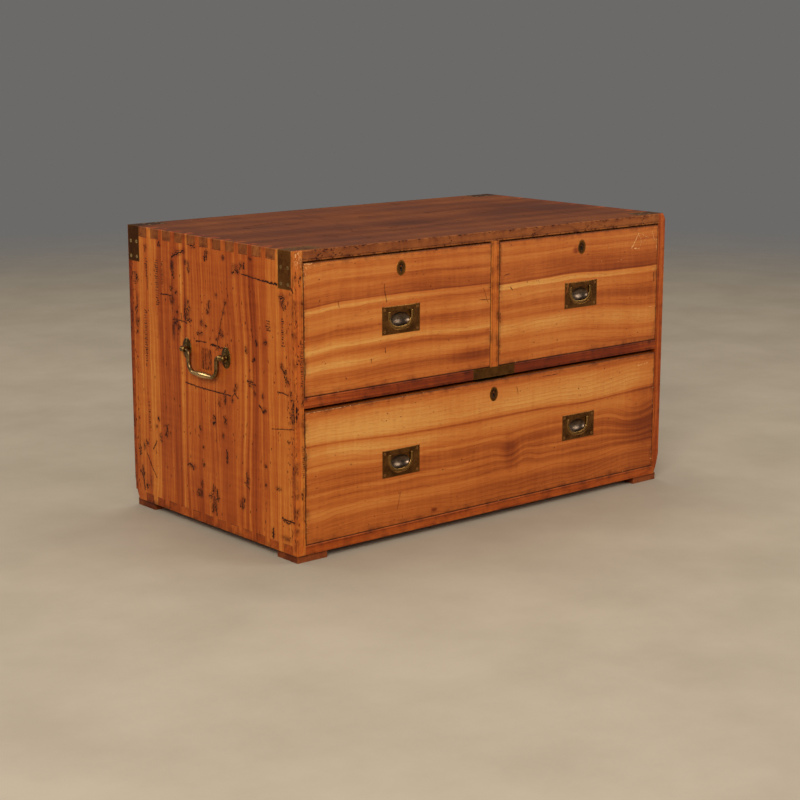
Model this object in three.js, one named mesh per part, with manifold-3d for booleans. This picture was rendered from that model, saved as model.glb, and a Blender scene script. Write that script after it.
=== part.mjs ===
import * as THREE from 'three';
import { mergeVertices } from 'three/addons/utils/BufferGeometryUtils.js';
import Module from 'manifold-3d';

// Campaign chest: a dovetailed camphor-wood carcass, two short drawers over one long drawer,
// flush brass handles, brass corner straps and a carrying handle on each side.
// Millimetres, +Z up. The front faces -Y, and the origin is on the floor under the carcass's middle.

const wasm = await Module();
wasm.setup();

// Fits and cutting
const fit = 0.3;
const overrun = 2;
const weldDistance = 0.0001;
const curveSteps = 12;
const bendSteps = 5;

// Carcass
const carcassWidth = 940;
const carcassDepth = 532;
const carcassHeight = 542;
const sideThickness = 19;
const topThickness = 19;
const bottomThickness = 17;
const upperOpening = 239;
const footHeight = 14;
const footLength = 66;
const footWidth = 60;
const footInset = 4;

// Carcass dovetails: the tails are on the top and bottom boards, the pins on the sides
const tailCount = 12;
const pinWidth = 14;
const frontPin = 13;
const backPin = 39;
const dovetailSlopeShare = 1 / 7;

// Back boards in their rebate
const backThickness = 10;
const rebateWidth = 9;
const backBoardGap = 0.8;

// Rail, dust board, divider and guides between the drawers
const railThickness = 19;
const railDepth = 64;
const tenonLength = 8;
const tenonThickness = 9;
const tenonShoulder = 8;
const dustThickness = 9;
const dustSeat = 8;
const dadoDepth = 5;
const expansionGap = 0.6;
const dividerWidth = 19;
const dividerTenon = 6;
const guideHeight = 14;
const stopWidth = 40;
const stopDepth = 14;
const stopHeight = 8;

// Scratched bead round each drawer opening
const beadWidth = 3;
const beadGroove = 1;

// Corners that years of moving have knocked round: three at the base, and a smaller one at the top
const knockRun = 14;
const knockRise = 42;
const topKnockRun = 7.5;
const topKnockRise = 12;
const ballCentreShare = 2.2;
const ballRadiusShare = Math.hypot(ballCentreShare, ballCentreShare, ballCentreShare - 1);
const ballSteps = 36;

// Drawers
const frontThickness = 19;
const frontLap = 5;
const sideGap = 1;
const frontGap = 1;
const shortTopGap = 3;
const longTopGap = 7;
const drawerRearGap = 22;
const drawerSideThickness = 9.5;
const drawerBackThickness = 10;
const drawerSideDrop = 3;
const drawerBackDrop = 6;
const panelThickness = 6;
const panelLift = 10;
const grooveDepth = 4.5;
const drawerTailCount = 5;
const drawerBackTailCount = 4;
const drawerPinWidth = 8;
const drawerEndPin = 7;

// Drawer locks
const lockWidth = 62;
const lockHeight = 40;
const lockThickness = 10;
const selvedgeWidth = 78;
const selvedgeDepth = 14;
const selvedgeThickness = 2;
const boltWidth = 20;
const boltThickness = 5;
const boltHeight = 24;
const boltCover = 2.5;
const boltEngagement = 5;
const mortiseSpare = 2;

// Escutcheons
const escutcheonWidth = 21;
const escutcheonHeight = 28;
const escutcheonThickness = 1.6;
const escutcheonDrop = 27;
const keyRound = 2;
const keySlotWidth = 2.4;
const keySlotLength = 7;
const keyDepthInLock = 2;

// Flush handles
const plateWidth = 89;
const plateHeight = 51;
const plateThickness = 4.5;
const plateDrop = 2.5;
const cupHalfWidth = 23;
const cupHalfHeight = 14;
const cupDepth = 12;
const cupWall = 1.5;
const cupSides = 20;
const cupRings = 10;
const bailWidth = 59;
const bailStrip = 5;
const bailThickness = 2.4;
const bailCorner = 24;
const bailDrop = 32;
const bailSink = 0.5;
const bailPlay = 0.6;
const pivotRise = 14.5;
const trunnionRadius = 0.9;
const trunnionLength = 2;
const trunnionSides = 10;

// Brass straps
const strapThickness = 2;
const strapWidth = 38;
const strapLeg = 68;
const frontStrapInset = 8;
const backStrapInset = 1;
const railStrapWidth = 106;

// Carrying handles
const handleDrop = 214;
const handleSetBack = 5;
const roseSpacing = 127;
const roseHalfWidth = 14.5;
const roseHalfHeight = 20;
const roseRim = 1.2;
const roseCrown = 3.6;
const roseRings = 4;
const roseSides = 20;
const neckRadius = 4.5;
const barrelRadius = 5.6;
const barrelHalfLength = 8;
const barrelSides = 12;
const barStandOff = 9.5;
const barPinRadius = 2.9;
const barArmRadius = 4.2;
const barGripRadius = 6.4;
const barArmSpacing = 91;
const barShoulderRadius = 8;
const barCornerRadius = 18;
const barDrop = 40;
const barBendSteps = 5;
const barGripSteps = 12;
const barSides = 10;
const gripLength = 64;

// Places worked out from the sizes above
const halfWidth = carcassWidth / 2;
const halfDepth = carcassDepth / 2;
const innerHalfWidth = halfWidth - sideThickness;
const carcassTop = footHeight + carcassHeight;
const ceiling = carcassTop - topThickness;
const railTop = ceiling - upperOpening;
const railBottom = railTop - railThickness;
const floor = footHeight + bottomThickness;
const railBack = -halfDepth + railDepth;
const backInner = halfDepth - backThickness;
const frontBack = -halfDepth + frontThickness;
const tailPitch = (carcassDepth - frontPin - backPin + pinWidth) / tailCount;
const tailWidth = tailPitch - pinWidth;
const lockBack = frontBack;
const boltBack = lockBack - boltCover;
const handleHeight = carcassTop - handleDrop;

// Finishes
const finishes = {
  camphor: { color: 0xa8572a, roughness: 0.5, metalness: 0 },
  camphorDrawer: { color: 0xbd7036, roughness: 0.45, metalness: 0 },
  camphorTop: { color: 0x7a4630, roughness: 0.35, metalness: 0 },
  camphorInside: { color: 0xb98a5c, roughness: 0.8, metalness: 0 },
  agedBrass: { color: 0x6b5228, roughness: 0.45, metalness: 1 },
  lockBrass: { color: 0x8d7038, roughness: 0.5, metalness: 1 },
};

// A closed geometry as a solid that can be cut and joined
function solid(geometry) {
  const bare = geometry.clone();
  bare.deleteAttribute('normal');
  bare.deleteAttribute('uv');
  const merged = mergeVertices(bare, weldDistance);
  return new wasm.Manifold(new wasm.Mesh({
    numProp: 3,
    vertProperties: merged.attributes.position.array,
    triVerts: new Uint32Array(merged.index.array),
  }));
}

function cut(body, ...tools) {
  return tools.reduce((rest, tool) => rest.subtract(tool), body);
}

function join(first, ...others) {
  return others.reduce((whole, other) => whole.add(other), first);
}

// A named piece of the chest in its finish
function piece(name, finish, body) {
  const mesh = body.getMesh();
  const geometry = new THREE.BufferGeometry();
  geometry.setAttribute('position', new THREE.BufferAttribute(new Float32Array(mesh.vertProperties), 3));
  geometry.setIndex(new THREE.BufferAttribute(new Uint32Array(mesh.triVerts), 1));
  geometry.computeVertexNormals();
  const made = new THREE.Mesh(geometry, new THREE.MeshStandardMaterial(finishes[finish]));
  made.name = name;
  return made;
}

// A square-edged board between three pairs of faces
function board([x0, x1], [y0, y1], [z0, z1]) {
  const geometry = new THREE.BoxGeometry(x1 - x0, y1 - y0, z1 - z0);
  geometry.translate((x0 + x1) / 2, (y0 + y1) / 2, (z0 + z1) / 2);
  return solid(geometry);
}

function mirrored(half) {
  return [-half, half];
}

function about(centre, length) {
  return [centre - length / 2, centre + length / 2];
}

// A pair of faces on the left (-1) or right (+1), given by their distances from the middle
function onSide(side, near, far) {
  return side < 0 ? [-far, -near] : [near, far];
}

function polygon(points) {
  return new THREE.Shape(points.map(([across, up]) => new THREE.Vector2(across, up)));
}

function ellipse(across, up, halfAcross, halfUp) {
  return new THREE.Shape().absellipse(across, up, halfAcross, halfUp, 0, 2 * Math.PI);
}

// How an outline drawn flat is turned to face along each axis: X takes (y, z), Y takes (x, z), Z takes (x, y)
const facing = {
  x: new THREE.Matrix4().set(0, 0, 1, 0, 1, 0, 0, 0, 0, 1, 0, 0, 0, 0, 0, 1),
  y: new THREE.Matrix4().set(1, 0, 0, 0, 0, 0, -1, 0, 0, 1, 0, 0, 0, 0, 0, 1),
  z: new THREE.Matrix4(),
};

// One or more outlines run along an axis from one face to another
function prism(outlines, axis, [from, to]) {
  const geometry = new THREE.ExtrudeGeometry(outlines, {
    depth: to - from,
    bevelEnabled: false,
    curveSegments: curveSteps,
  });
  geometry.applyMatrix4(facing[axis]);
  const start = { x: [from, 0, 0], y: [0, to, 0], z: [0, 0, from] }[axis];
  geometry.translate(...start);
  return solid(geometry);
}

// A round bar along an axis through a point
function rod(axis, [x, y, z], [from, to], radius, sides) {
  const geometry = new THREE.CylinderGeometry(radius, radius, to - from, sides);
  if (axis === 'x') geometry.rotateZ(Math.PI / 2);
  const middle = (from + to) / 2;
  if (axis === 'x') geometry.translate(middle, y, z);
  else geometry.translate(x, middle, z);
  return solid(geometry);
}

function ellipsoid([x, y, z], [rx, ry, rz], sides, rings) {
  const geometry = new THREE.SphereGeometry(1, sides, rings);
  geometry.scale(rx, ry, rz);
  geometry.translate(x, y, z);
  return solid(geometry);
}

// A dovetail joint: tails run from a shoulder to an end, and are spread between two half pins
function dovetailJoint(shoulder, end, [low, high], count, pin, lowPin, highPin) {
  const pitch = (high - low - lowPin - highPin + pin) / count;
  const width = pitch - pin;
  const centres = Array.from({ length: count }, (_, index) => low + lowPin + width / 2 + index * pitch);
  return { shoulder, end, width, centres };
}

function tailPoints(joint, centre, shoulder, end, spare) {
  const wide = joint.width / 2 + spare;
  const narrowing = (along) => wide - dovetailSlopeShare * Math.abs(joint.end - along);
  const widening = (along) => wide + dovetailSlopeShare * Math.abs(along - joint.end);
  const atEnd = Math.abs(end - joint.shoulder) > Math.abs(joint.end - joint.shoulder) ? widening(end) : narrowing(end);
  return [
    [shoulder, centre - narrowing(shoulder)],
    [end, centre - atEnd],
    [end, centre + atEnd],
    [shoulder, centre + narrowing(shoulder)],
  ];
}

// A board's outline with tails at both ends
function tailedOutline([low, high], near, far) {
  const up = far.centres.flatMap((centre) => tailPoints(far, centre, far.shoulder, far.end, 0));
  const down = near.centres.flatMap((centre) => tailPoints(near, centre, near.shoulder, near.end, 0));
  return polygon([
    [near.shoulder, low],
    [far.shoulder, low],
    ...up,
    [far.shoulder, high],
    [near.shoulder, high],
    ...down.reverse(),
  ]);
}

// The sockets that a joint's tails drop into, open past the shoulder and, where asked, past the end
function sockets(joint, pastEnd, axis, faces) {
  const outward = Math.sign(joint.end - joint.shoulder);
  const shoulder = joint.shoulder - outward * overrun;
  const end = joint.end + outward * pastEnd;
  const outlines = joint.centres.map((centre) => polygon(tailPoints(joint, centre, shoulder, end, fit / 2)));
  return prism(outlines, axis, faces);
}

// Carcass joints on the left and right
function carcassJoint(side) {
  const faces = mirrored(halfDepth);
  return dovetailJoint(side * innerHalfWidth, side * halfWidth, faces, tailCount, pinWidth, frontPin, backPin);
}

// Two places in order, lowest first
function between(one, other) {
  return [Math.min(one, other), Math.max(one, other)];
}

// What knocks have taken off one corner of the carcass: a block less a large ball
function knockedCorner({ side, end, level }) {
  const run = level < 0 ? knockRun : topKnockRun;
  const rise = level < 0 ? knockRise : topKnockRise;
  const x = side * halfWidth;
  const y = end * halfDepth;
  const z = level < 0 ? footHeight : carcassTop;
  const chunk = board(
    between(x - side * run, x + side * overrun),
    between(y - end * run, y + end * overrun),
    between(z - level * rise, z + level * overrun),
  );
  const centre = [
    x - side * ballCentreShare * run,
    y - end * ballCentreShare * run,
    z - level * ballCentreShare * rise,
  ];
  const radii = [run, run, rise].map((reach) => ballRadiusShare * reach);
  return cut(chunk, ellipsoid(centre, radii, ballSteps, ballSteps));
}

const knocks = [
  { side: -1, end: 1, level: -1 },
  { side: 1, end: -1, level: -1 },
  { side: 1, end: 1, level: -1 },
  { side: 1, end: -1, level: 1 },
];

function knocksOn(sides, levels) {
  const worn = knocks.filter((knock) => sides.includes(knock.side) && levels.includes(knock.level));
  return worn.map(knockedCorner);
}

// The strip along an edge's front that the scratched bead stands beside
function beadLine([x0, x1], [z0, z1]) {
  return board([x0, x1], [-halfDepth - overrun, -halfDepth + beadGroove], [z0, z1]);
}

// An L-shaped strap let into the side and the top at one corner; spare makes the recess for it
function strapBody(side, end, spare) {
  const inset = end < 0 ? frontStrapInset : backStrapInset;
  const outer = end * (halfDepth - inset);
  const inner = end * (halfDepth - inset - strapWidth);
  const faces = between(outer - spare * Math.sign(inner - outer), inner + spare * Math.sign(inner - outer));
  const outside = spare > 0 ? overrun : 0;
  const leg = board(
    onSide(side, halfWidth - strapThickness, halfWidth + outside),
    faces,
    [carcassTop - strapLeg - spare, carcassTop + outside],
  );
  const cap = board(
    onSide(side, halfWidth - strapLeg - spare, halfWidth + outside),
    faces,
    [carcassTop - strapThickness, carcassTop + outside],
  );
  return join(leg, cap);
}

function strapRecesses(sides) {
  return sides.flatMap((side) => [-1, 1].map((end) => strapBody(side, end, fit)));
}

// The hole over a drawer's lock that its bolt is thrown into
function strikeMortise(x, under) {
  return board(
    about(x, boltWidth + 2 * mortiseSpare),
    [boltBack - boltThickness - mortiseSpare, boltBack + mortiseSpare],
    [under - overrun, under + boltEngagement + mortiseSpare],
  );
}

const shortOpeningWidth = innerHalfWidth - dividerWidth / 2;
const shortCentre = (innerHalfWidth + dividerWidth / 2) / 2;

// Top board: tails at both ends, rebate for the back, mortises for the divider and the bolts
function topBoard() {
  const blank = prism(
    tailedOutline(mirrored(halfDepth), carcassJoint(-1), carcassJoint(1)),
    'z',
    [ceiling, carcassTop],
  );
  return cut(
    blank,
    board(mirrored(innerHalfWidth + overrun), [backInner, halfDepth + overrun], [ceiling - overrun, ceiling + rebateWidth]),
    dividerTenons(fit),
    strikeMortise(-shortCentre, ceiling),
    strikeMortise(shortCentre, ceiling),
    beadLine(mirrored(innerHalfWidth), [ceiling + beadWidth, ceiling + beadWidth + beadGroove]),
    ...strapRecesses([-1, 1]),
    ...knocksOn([-1, 1], [1]),
  );
}

function bottomBoard() {
  const blank = prism(
    tailedOutline(mirrored(halfDepth), carcassJoint(-1), carcassJoint(1)),
    'z',
    [footHeight, floor],
  );
  return cut(
    blank,
    board(mirrored(innerHalfWidth + overrun), [backInner, halfDepth + overrun], [floor - rebateWidth, floor + overrun]),
    beadLine(mirrored(innerHalfWidth), [floor - beadWidth - beadGroove, floor - beadWidth]),
    ...knocksOn([-1, 1], [-1]),
  );
}

// Case side: sockets at top and bottom, rebate, and housings for the rail and the dust board
function caseSide(side) {
  const joint = carcassJoint(side);
  const beadInner = innerHalfWidth + beadWidth;
  return cut(
    board(onSide(side, innerHalfWidth, halfWidth), mirrored(halfDepth), [footHeight, carcassTop]),
    sockets(joint, overrun, 'z', [ceiling, carcassTop + overrun]),
    sockets(joint, overrun, 'z', [footHeight - overrun, floor]),
    board(
      onSide(side, innerHalfWidth - overrun, innerHalfWidth + rebateWidth),
      [backInner, halfDepth + overrun],
      [floor - rebateWidth, ceiling + rebateWidth],
    ),
    railTenons(fit),
    board(
      onSide(side, innerHalfWidth - overrun, innerHalfWidth + dadoDepth),
      [railBack - dustSeat, backInner + overrun],
      [railTop - dustThickness, railTop + fit],
    ),
    beadLine(onSide(side, beadInner, beadInner + beadGroove), [floor, ceiling]),
    ...strapRecesses([side]),
    ...knocksOn([side], [-1, 1]),
  );
}

// Back: two boards side by side in the rebate
function backBoard([low, high]) {
  return board(mirrored(innerHalfWidth + rebateWidth - fit), [backInner, halfDepth], [low, high]);
}

const backMiddle = (floor + ceiling) / 2;

// Rail between the short drawers and the long one, stub-tenoned into the sides
function railTenons(spare) {
  const height = tenonThickness + 2 * spare;
  return board(
    mirrored(innerHalfWidth + tenonLength + spare),
    [-halfDepth + tenonShoulder - spare, railBack - tenonShoulder + spare],
    about((railTop + railBottom) / 2, height),
  );
}

function railStrap() {
  return board(about(0, railStrapWidth), [-halfDepth, -halfDepth + strapThickness], [railBottom, railTop]);
}

function middleRail() {
  const between = board(mirrored(innerHalfWidth), [-halfDepth, railBack], [railBottom, railTop]);
  const outer = mirrored(innerHalfWidth);
  return cut(
    join(between, railTenons(0)),
    board(mirrored(halfWidth), [railBack - dustSeat, railBack + overrun], [railTop - dustThickness, railTop + overrun]),
    board(
      about(0, railStrapWidth + 2 * fit),
      [-halfDepth - overrun, -halfDepth + strapThickness],
      [railBottom - overrun, railTop + overrun],
    ),
    dividerTenons(fit),
    strikeMortise(0, railBottom),
    beadLine(outer, [railTop - beadWidth - beadGroove, railTop - beadWidth]),
    beadLine(outer, [railBottom + beadWidth, railBottom + beadWidth + beadGroove]),
  );
}

// Dust board behind the rail: it lies in the rail's rebate and in a dado in each side
function dustBoard() {
  return board(
    mirrored(innerHalfWidth + dadoDepth - fit),
    [railBack - dustSeat + fit, backInner - expansionGap],
    [railTop - dustThickness, railTop],
  );
}

// Divider between the short drawers, with a stub tenon at each end
function dividerTenons(spare) {
  return board(
    about(0, tenonThickness + 2 * spare),
    [-halfDepth + tenonShoulder - spare, railBack - dustSeat - tenonShoulder + spare],
    [railTop - dividerTenon - spare, ceiling + dividerTenon + spare],
  );
}

function centreDivider() {
  const upright = board(about(0, dividerWidth), [-halfDepth, railBack - dustSeat], [railTop, ceiling]);
  const line = dividerWidth / 2 - beadWidth;
  return cut(
    join(upright, dividerTenons(0)),
    beadLine([-line, -line + beadGroove], [railTop, ceiling]),
    beadLine([line - beadGroove, line], [railTop, ceiling]),
  );
}

function drawerGuide() {
  return board(
    about(0, dividerWidth),
    [railBack - dustSeat + fit, backInner - expansionGap],
    [railTop, railTop + guideHeight],
  );
}

// Stop block glued behind a drawer front's lower edge
function drawerStop(x, seat) {
  return board(about(x, stopWidth), [frontBack + fit, frontBack + fit + stopDepth], [seat, seat + stopHeight]);
}

function foot(side, end) {
  const outerY = end * (halfDepth - footInset);
  const innerY = end * (halfDepth - footInset - footWidth);
  return board(
    onSide(side, halfWidth - footInset - footLength, halfWidth - footInset),
    between(outerY, innerY),
    [0, footHeight],
  );
}

// A keyhole seen from the front: a round hole over a slot
function keyhole(x, z, faces) {
  const round = prism(ellipse(x, z, keyRound, keyRound), 'y', faces);
  return join(round, board(about(x, keySlotWidth), faces, [z - keySlotLength, z]));
}

function escutcheonOutline(x, z, spare) {
  return ellipse(x, z, escutcheonWidth / 2 + spare, escutcheonHeight / 2 + spare);
}

function escutcheon(x, z) {
  const faces = [-halfDepth, -halfDepth + escutcheonThickness];
  return cut(
    prism(escutcheonOutline(x, z, 0), 'y', faces),
    keyhole(x, z + keySlotLength / 2, [-halfDepth - overrun, -halfDepth + escutcheonThickness + overrun]),
  );
}

// Lock let into a drawer front's back and top edge; spare makes the recess for it
function lockBody(x, top, spare) {
  const above = spare > 0 ? overrun : 0;
  const behind = spare > 0 ? overrun : 0;
  const box = board(
    about(x, lockWidth + 2 * spare),
    [lockBack - lockThickness - spare, lockBack + behind],
    [top - lockHeight - spare, top + above],
  );
  const selvedge = board(
    about(x, selvedgeWidth + 2 * spare),
    [lockBack - selvedgeDepth - spare, lockBack + behind],
    [top - selvedgeThickness, top + above],
  );
  return join(box, selvedge);
}

function lockCase(x, top) {
  const throat = board(
    about(x, boltWidth + 2 * fit),
    [boltBack - boltThickness - fit, boltBack + fit],
    [top - boltHeight - fit, top + overrun],
  );
  const keyZ = top - escutcheonDrop + keySlotLength / 2;
  const face = lockBack - lockThickness;
  return cut(lockBody(x, top, 0), throat, keyhole(x, keyZ, [face - overrun, face + keyDepthInLock]));
}

function lockBolt(x, top) {
  return board(about(x, boltWidth), [boltBack - boltThickness, boltBack], [top - boltHeight, top]);
}

// The flush handle's bail seen from the front: a U of flat strip, hung from its two upper ends
function bailPath(shape, half, drop, corner, pivot) {
  const flat = half - corner;
  const low = pivot - drop;
  shape.lineTo(-half, low + corner);
  shape.absarc(-flat, low + corner, corner, Math.PI, 1.5 * Math.PI, false);
  shape.absarc(flat, low + corner, corner, 1.5 * Math.PI, 2 * Math.PI, false);
  return shape;
}

function bailPocketOutline(x, z) {
  const half = bailWidth / 2 + bailPlay;
  const pivot = z + pivotRise;
  const top = pivot + bailThickness / 2 + bailPlay;
  const shape = new THREE.Shape();
  shape.moveTo(-half, top);
  bailPath(shape, half, bailDrop + bailPlay, bailCorner + bailPlay, pivot);
  shape.lineTo(half, top);
  return shiftedOutline(shape, x);
}

function shiftedOutline(shape, x) {
  const points = shape.getPoints(bendSteps);
  return new THREE.Shape(points.map((point) => new THREE.Vector2(point.x + x, point.y)));
}

function bailOutline(x, z) {
  const half = bailWidth / 2;
  const pivot = z + pivotRise;
  const outer = new THREE.Shape();
  outer.moveTo(-half, pivot);
  bailPath(outer, half, bailDrop, bailCorner, pivot);
  outer.lineTo(half, pivot);
  const inner = new THREE.Shape();
  const innerHalf = half - bailStrip;
  inner.moveTo(-innerHalf, pivot);
  bailPath(inner, innerHalf, bailDrop - bailStrip, bailCorner - bailStrip, pivot);
  inner.lineTo(innerHalf, pivot);
  const points = [...outer.getPoints(bendSteps), ...inner.getPoints(bendSteps).reverse()];
  return new THREE.Shape(points.map((point) => new THREE.Vector2(point.x + x, point.y)));
}

const bailFront = -halfDepth + bailSink;
const pivotDepth = bailFront + bailThickness / 2;
const pocketDepth = bailSink + bailThickness + fit;

function flushBail(x, z) {
  const pivot = z + pivotRise;
  const strip = prism(bailOutline(x, z), 'y', [bailFront, bailFront + bailThickness]);
  const half = bailWidth / 2;
  const ends = [-1, 1].flatMap((side) => {
    const eye = onSide(side, half - bailStrip, half).map((edge) => edge + x);
    const pin = onSide(side, half - bailStrip, half + trunnionLength).map((edge) => edge + x);
    return [
      rod('x', [0, pivotDepth, pivot], eye, bailThickness / 2, trunnionSides),
      rod('x', [0, pivotDepth, pivot], pin, trunnionRadius, trunnionSides),
    ];
  });
  return join(strip, ...ends);
}

// Handle plate: cast with the bail's pocket, the finger cup and a bore for each trunnion
function handlePlate(x, z) {
  const behindFace = [-halfDepth, halfDepth];
  const shell = ellipsoid(
    [x, -halfDepth, z],
    [cupHalfWidth + cupWall, cupDepth + cupWall, cupHalfHeight + cupWall],
    cupSides,
    cupRings,
  );
  const backOfCup = shell.intersect(board(mirrored(halfWidth), behindFace, [0, carcassTop]));
  const slab = board(about(x, plateWidth), [-halfDepth, -halfDepth + plateThickness], about(z, plateHeight));
  const pocket = prism(bailPocketOutline(x, z), 'y', [-halfDepth - overrun, -halfDepth + pocketDepth]);
  const cup = ellipsoid([x, -halfDepth, z], [cupHalfWidth, cupDepth, cupHalfHeight], cupSides, cupRings);
  const boreHalf = bailWidth / 2 + trunnionLength + fit;
  const bore = rod('x', [0, pivotDepth, z + pivotRise], [x - boreHalf, x + boreHalf], trunnionRadius + fit, trunnionSides);
  return cut(join(slab, backOfCup), pocket, cup, bore);
}

function plateRecess(x, z) {
  const face = board(
    about(x, plateWidth + 2 * fit),
    [-halfDepth - overrun, -halfDepth + plateThickness],
    about(z, plateHeight + 2 * fit),
  );
  const halfAcross = cupHalfWidth + cupWall + fit;
  const halfUp = cupHalfHeight + cupWall + fit;
  const well = prism(ellipse(x, z, halfAcross, halfUp), 'y', [-halfDepth, -halfDepth + cupDepth + cupWall + fit]);
  return join(face, well);
}

// Everything about one drawer's box, worked out from the opening that it fills
function drawerPlan(centre, openingWidth, seat, over, topGap) {
  const half = openingWidth / 2 - sideGap;
  const frontTop = over - topGap;
  const sideFaces = [seat + fit, frontTop - drawerSideDrop];
  const panelFaces = [seat + fit + panelLift, seat + fit + panelLift + panelThickness];
  const backFaces = [panelFaces[1] + fit, frontTop - drawerSideDrop - drawerBackDrop];
  const back = backInner - drawerRearGap;
  return {
    centre,
    half,
    back,
    frontTop,
    frontFaces: [seat + frontGap, frontTop],
    sideFaces,
    panelFaces,
    backFaces,
    throwHeight: topGap + boltEngagement,
    frontJoint: dovetailJoint(
      frontBack, -halfDepth + frontLap, sideFaces, drawerTailCount, drawerPinWidth, drawerEndPin, drawerEndPin,
    ),
    backJoint: dovetailJoint(
      back - drawerBackThickness, back, backFaces, drawerBackTailCount, drawerPinWidth, drawerEndPin, drawerEndPin,
    ),
  };
}

function drawerSideFaces(plan, side) {
  const outer = plan.centre + side * plan.half;
  return between(outer, outer - side * drawerSideThickness);
}

// The groove that the bottom panel slides in, as wide as the panel with its clearance
function panelGroove(plan) {
  const half = plan.half - drawerSideThickness + grooveDepth;
  return board(
    [plan.centre - half, plan.centre + half],
    [frontBack - grooveDepth, plan.back + overrun],
    [plan.panelFaces[0], plan.panelFaces[1] + fit],
  );
}

function drawerFront(plan, handlePlaces) {
  const face = board(
    [plan.centre - plan.half, plan.centre + plan.half],
    [-halfDepth, frontBack],
    plan.frontFaces,
  );
  const keyZ = plan.frontTop - escutcheonDrop;
  const plateZ = plateHeightOn(plan);
  return cut(
    face,
    ...[-1, 1].map((side) => sockets(plan.frontJoint, 0, 'x', socketFaces(plan, side))),
    panelGroove(plan),
    lockBody(plan.centre, plan.frontTop, fit),
    prism(escutcheonOutline(plan.centre, keyZ, fit), 'y', [-halfDepth - overrun, -halfDepth + escutcheonThickness]),
    keyhole(plan.centre, keyZ + keySlotLength / 2, [-halfDepth, frontBack]),
    ...handlePlaces.map((x) => plateRecess(x, plateZ)),
  );
}

// Sockets reach from a drawer side's inner face out past the drawer's end
function socketFaces(plan, side) {
  const outer = plan.centre + side * (plan.half + overrun);
  return between(outer, plan.centre + side * (plan.half - drawerSideThickness));
}

function plateHeightOn(plan) {
  return (plan.frontFaces[0] + plan.frontFaces[1]) / 2 - plateDrop;
}

function drawerSide(plan, side) {
  const faces = drawerSideFaces(plan, side);
  const heel = board(
    faces,
    [plan.backJoint.shoulder - overrun, plan.back],
    [plan.sideFaces[0], plan.backFaces[0] - fit],
  );
  const tailed = prism(tailedOutline(plan.sideFaces, plan.frontJoint, plan.backJoint), 'x', faces);
  return cut(join(tailed, heel), panelGroove(plan));
}

function drawerBack(plan) {
  const across = board(
    [plan.centre - plan.half, plan.centre + plan.half],
    [plan.backJoint.shoulder, plan.backJoint.end],
    plan.backFaces,
  );
  return cut(across, ...[-1, 1].map((side) => sockets(plan.backJoint, overrun, 'x', socketFaces(plan, side))));
}

function drawerPanel(plan) {
  const half = plan.half - drawerSideThickness + grooveDepth - fit;
  return board(
    [plan.centre - half, plan.centre + half],
    [frontBack - grooveDepth + fit, plan.back],
    plan.panelFaces,
  );
}

// Rose of a carrying handle: a domed oval plate, a neck and a round-ended barrel for the bail's pin
function roseDome(side, y) {
  const profile = [new THREE.Vector2(0, 0), new THREE.Vector2(roseHalfWidth, 0)];
  for (let ring = 0; ring <= roseRings; ring += 1) {
    const out = 1 - ring / roseRings;
    const rise = roseRim + (roseCrown - roseRim) * Math.cos((out * Math.PI) / 2);
    profile.push(new THREE.Vector2(roseHalfWidth * out, rise));
  }
  const geometry = new THREE.LatheGeometry(profile, roseSides);
  geometry.rotateZ((-side * Math.PI) / 2);
  geometry.scale(1, 1, roseHalfHeight / roseHalfWidth);
  geometry.translate(side * halfWidth, y, handleHeight);
  return solid(geometry);
}

function roseBarrel(side, y, inward) {
  const profile = new THREE.Path();
  profile.absarc(0, barrelRadius - barrelHalfLength, barrelRadius, -Math.PI / 2, 0, false);
  profile.lineTo(barrelRadius, barrelHalfLength);
  profile.lineTo(0, barrelHalfLength);
  const geometry = new THREE.LatheGeometry(profile.getPoints(bendSteps), barrelSides);
  if (inward < 0) geometry.rotateZ(Math.PI);
  geometry.translate(side * (halfWidth + barStandOff), y, handleHeight);
  return solid(geometry);
}

function carryRose(side, end) {
  const y = handleSetBack + (end * roseSpacing) / 2;
  const inward = -end;
  const neck = rod('x', [0, y, handleHeight], onSide(side, halfWidth, halfWidth + barStandOff), neckRadius, barrelSides);
  const mouth = y + inward * (barrelHalfLength + overrun);
  const bottom = y - inward * fit;
  const bore = rod(
    'y',
    [side * (halfWidth + barStandOff), 0, handleHeight],
    between(mouth, bottom),
    barPinRadius + fit,
    barSides,
  );
  return cut(join(roseDome(side, y), neck, roseBarrel(side, y, inward)), bore);
}

// The carrying bail's centre line in the plane of its swing, from pin to pin
function barStretches() {
  const pin = roseSpacing / 2;
  const arm = barArmSpacing / 2;
  const shoulder = arm + barShoulderRadius;
  const corner = arm - barCornerRadius;
  const bendTop = barCornerRadius - barDrop;
  const line = (from, to, steps) => (
    { curve: new THREE.LineCurve(new THREE.Vector2(...from), new THREE.Vector2(...to)), steps }
  );
  const bend = (across, up, radius, from, to, clockwise) => (
    { curve: new THREE.EllipseCurve(across, up, radius, radius, from, to, clockwise), steps: barBendSteps }
  );
  return [
    line([-pin, 0], [-shoulder, 0], 1),
    bend(-shoulder, -barShoulderRadius, barShoulderRadius, Math.PI / 2, 0, true),
    line([-arm, -barShoulderRadius], [-arm, bendTop], 1),
    bend(-corner, bendTop, barCornerRadius, Math.PI, 1.5 * Math.PI, false),
    line([-corner, -barDrop], [corner, -barDrop], barGripSteps),
    bend(corner, bendTop, barCornerRadius, 1.5 * Math.PI, 2 * Math.PI, false),
    line([arm, bendTop], [arm, -barShoulderRadius], 1),
    bend(shoulder, -barShoulderRadius, barShoulderRadius, Math.PI, Math.PI / 2, true),
    line([shoulder, 0], [pin, 0], 1),
  ];
}

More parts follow.
